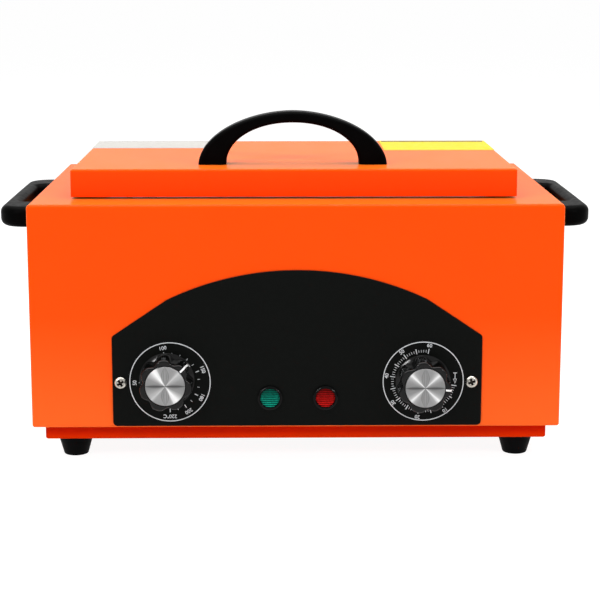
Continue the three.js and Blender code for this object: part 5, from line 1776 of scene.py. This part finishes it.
def tank():
    half = half_size("chamber_tank")
    low, top = tank_low.z, tank_high.z
    flange_low = top - TANK_SHEET
    wall, lip = TANK_FLANGE, TANK_LIP_RADIUS
    floor_round = (TANK_FLOOR_RADIUS, -1, TANK_FLOOR_STEPS)
    profile = shoulder(wall + TANK_SHEET, low + TANK_SHEET, *floor_round)[::-1]
    for step in range(EDGE_STEPS + 1):
        angle = math.pi / 2 * step / EDGE_STEPS
        inset = wall + TANK_SHEET - lip * (1 - math.cos(angle))
        profile.append((inset, top - lip * (1 - math.sin(angle))))
    profile += [(0, top), (0, flange_low), (wall, flange_low)]
    profile += shoulder(wall, low, TANK_FLOOR_RADIUS + TANK_SHEET, -1, TANK_FLOOR_STEPS)
    radius = TANK_CORNER_RADIUS + TANK_SHEET + TANK_FLANGE
    rings = folded_rings(half, radius, profile, tank_mid)
    obj = ring_object("chamber_tank_fine", rings)
    dress(obj, steel_round, "root", "stainless", "chamber_tank", angle=METAL_ANGLE)


def tray():
    """Shallow pan with a turned-out lip, drain holes and ears for its bails."""
    low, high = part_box("instrument_tray")
    floor, rim = low.z, low.z + TRAY_HEIGHT
    lip, sheet, ease = TRAY_LIP, TRAY_SHEET, TRAY_RIM_EASE
    inner = lip + sheet
    profile = shoulder(inner, floor + sheet, TRAY_FLOOR_RADIUS, -1, TRAY_FLOOR_STEPS)[::-1]
    profile += [(inner - out, rim - down) for out, down in TRAY_RIM_ROUND]
    profile += [(ease, rim), (0, rim - sheet / 2), (ease, rim - sheet), (lip, rim - sheet)]
    profile += shoulder(lip, floor, TRAY_FLOOR_RADIUS + sheet, -1, TRAY_FLOOR_STEPS)
    rings = folded_rings(half_size("instrument_tray"), TRAY_CORNER_RADIUS, profile, tank_mid)
    pan = ring_object("instrument_tray_fine", rings)
    holes = bmesh.new()
    for column in range(TRAY_HOLE_COLUMNS):
        for row in range(TRAY_HOLE_ROWS):
            x = tank_mid.x + (column - (TRAY_HOLE_COLUMNS - 1) / 2) * TRAY_HOLE_PITCH
            y = tank_mid.y + (row - (TRAY_HOLE_ROWS - 1) / 2) * TRAY_HOLE_PITCH
            add_cylinder(holes, (x, y, floor - OVERRUN), (x, y, floor + OVERRUN), TRAY_HOLE_RADIUS)
    carve(pan, object_from("tray_holes", holes))
    pieces = [pan] + [tray_ear(side, end, high.z, rim) for side in SIDES for end in (-1, 1)]
    whole = join("instrument_tray_fine", pieces)
    dress(whole, steel_across, "tray", "stainless", "instrument_tray", angle=METAL_ANGLE)


def bail_pivot_x(sign):
    """The bails turn in the middle of the ears, which stand against the tray's end walls."""
    return sign * (half_size("instrument_tray").x - TRAY_LIP - EAR_LENGTH / 2)


def tray_ear(side, end, top, rim):
    """Upright tab with a round top and a hole for the bail's end."""
    sign = 1 if side == "right" else -1
    y = tank_mid.y + end * EAR_SPACING / 2
    outer = half_size("instrument_tray").x - TRAY_LIP - TRAY_SHEET / 2
    inner = outer - EAR_LENGTH
    ease = EAR_CORNER_RADIUS
    outline = [(outer, rim - EAR_LENGTH), (outer, rim)]
    outline += arc_points((outer - ease, top - ease), ease, 0, 90, EAR_STEPS)
    outline += arc_points((inner + ease, top - ease), ease, 90, 180, EAR_STEPS)
    outline += [(inner, rim - EAR_LENGTH / 2)]
    rings = []
    for place in (y - EAR_THICKNESS / 2, y + EAR_THICKNESS / 2):
        rings.append([Vector((sign * x, place, z)) for x, z in outline])
    ear = ring_object("ear", rings)
    pivot_x, pivot_z = bail_pivot_x(sign), middle(f"tray_bail_{side}").z
    bm = bmesh.new()
    start = (pivot_x, y - EAR_THICKNESS, pivot_z)
    add_cylinder(bm, start, (pivot_x, y + EAR_THICKNESS, pivot_z), BAIL_RADIUS + CLEARANCE)
    carve(ear, object_from("ear_hole", bm))
    return ear


def bend_route(corners, radius):
    """A route through corner points with an eased bend at each inner corner."""
    route = [corners[0]]
    for before, corner, after in zip(corners, corners[1:], corners[2:]):
        reach = min(radius, (before - corner).length / 2, (after - corner).length / 2)
        route += round_corner(before, corner, after, reach, BEND_STEPS)
    route.append(corners[-1])
    return route


def rod_rings(route, radius):
    """Rings of a round rod along a route that lies in a level plane."""
    rings = []
    up = Vector((0, 0, 1))
    for i, point in enumerate(route):
        along = (route[min(i + 1, len(route) - 1)] - route[max(i - 1, 0)]).normalized()
        across = along.cross(up)
        section = circle(radius, 0, ROD_SIDES)
        rings.append([point + across * p.x + up * p.y for p in section])
    return rings


def bail(side):
    node = f"tray_bail_{side}"
    low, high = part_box(node)
    sign = 1 if side == "right" else -1
    pivot_x = bail_pivot_x(sign)
    tip_x = sign * (min(abs(low.x), abs(high.x)) + BAIL_RADIUS)
    leg = EAR_SPACING / 2 - EAR_THICKNESS / 2 - CLEARANCE - BAIL_RADIUS
    end = EAR_SPACING / 2 + EAR_THICKNESS / 2 + BAIL_RADIUS
    corners = []
    for x, y in (
        (pivot_x, -end), (pivot_x, -leg), (tip_x, -leg), (tip_x, leg), (pivot_x, leg), (pivot_x, end)
    ):
        corners.append(Vector((x, tank_mid.y + y, (low.z + high.z) / 2)))
    route = bend_route(corners, BAIL_CORNER_RADIUS)
    obj = ring_object(f"{node}_fine", rod_rings(route, BAIL_RADIUS))
    dress(obj, steel_across, f"bail_{side}", "stainless", node, angle=ROUND_ANGLE)


tank()
tray()
bail("left")
bail("right")


# Studio

def background_material(name, colour, own_light, shading):
    """White for the camera and for reflections, with a share of real shading that keeps the shadow."""
    material = bpy.data.materials.new(name)
    material.use_nodes = True
    tree = material.node_tree
    tree.nodes.clear()
    kinds = ("OutputMaterial", "LightPath", "BsdfDiffuse", "BsdfDiffuse", "Emission", "AddShader")
    output, path, diffuse, faint, glow, seen = (tree.nodes.new(f"ShaderNode{kind}") for kind in kinds)
    mix = tree.nodes.new("ShaderNodeMixShader")
    diffuse.inputs["Color"].default_value = (*colour, 1)
    faint.inputs["Color"].default_value = (*(c * shading for c in colour), 1)
    glow.inputs["Strength"].default_value = own_light
    tree.links.new(seen_by(tree, path), mix.inputs["Fac"])
    for source, target in (
        (glow, seen.inputs[0]), (faint, seen.inputs[1]), (diffuse, mix.inputs[1]),
        (seen, mix.inputs[2]), (mix, output.inputs["Surface"]),
    ):
        tree.links.new(source.outputs[0], target)
    return material


def seen_by(tree, path):
    """One for camera, glossy and transmission rays, and zero for others."""
    first, second = (tree.nodes.new("ShaderNodeMath") for _ in range(2))
    first.operation = second.operation = "MAXIMUM"
    tree.links.new(path.outputs["Is Camera Ray"], first.inputs[0])
    tree.links.new(path.outputs["Is Glossy Ray"], first.inputs[1])
    tree.links.new(first.outputs[0], second.inputs[0])
    tree.links.new(path.outputs["Is Transmission Ray"], second.inputs[1])
    return second.outputs[0]


def floor():
    bm = bmesh.new()
    half = FLOOR_SIZE / 2
    bm.faces.new([bm.verts.new((x, y, 0)) for x, y in plan_box(-half, -half, half, half)])
    obj = object_from("studio_floor", bm)
    white = background_material("floor_white", FLOOR_COLOUR, FLOOR_GLOW, FLOOR_SHADING)
    obj.data.materials.append(white)


def world(fill):
    """An even white surround: full white where it is seen, and a softer fill where it lights."""
    setting = bpy.data.worlds.new("studio")
    bpy.context.scene.world = setting
    setting.use_nodes = True
    tree = setting.node_tree
    background = tree.nodes["Background"]
    path = tree.nodes.new("ShaderNodeLightPath")
    level = tree.nodes.new("ShaderNodeMapRange")
    level.inputs["To Min"].default_value = fill
    level.inputs["To Max"].default_value = 1
    tree.links.new(seen_by(tree, path), level.inputs["Value"])
    tree.links.new(level.outputs["Result"], background.inputs["Strength"])
    background.inputs["Color"].default_value = (1, 1, 1, 1)


def softbox(name, place, size, power, roll):
    """A lamp panel that faces the object, turned about its own axis by the roll in degrees."""
    light = bpy.data.lights.new(name, "AREA")
    light.shape = "RECTANGLE"
    light.size, light.size_y = size
    light.energy = power
    obj = bpy.data.objects.new(name, light)
    aim = (Vector(LAMP_TARGET) - Vector(place)).to_track_quat("-Z", "Y").to_matrix()
    turn = aim @ Matrix.Rotation(math.radians(roll), 3, "Z")
    obj.matrix_world = Matrix.Translation(place) @ turn.to_4x4()
    bpy.context.scene.collection.objects.link(obj)


def camera():
    data = bpy.data.cameras.new("camera")
    data.lens = CAMERA_LENS
    data.clip_start, data.clip_end = CAMERA_CLIP
    obj = bpy.data.objects.new("camera", data)
    obj.location = (CAMERA_SIDE, case_low.y - CAMERA_DISTANCE, case_low.z + CAMERA_HEIGHT)
    obj.rotation_euler = (math.radians(90 - CAMERA_PITCH), 0, -math.radians(CAMERA_YAW))
    bpy.context.scene.collection.objects.link(obj)
    bpy.context.scene.camera = obj


floor()
world(WORLD_FILL)
for lamp in LAMPS:
    softbox(*lamp)
camera()

bpy.context.scene.view_settings.view_transform = "Standard"
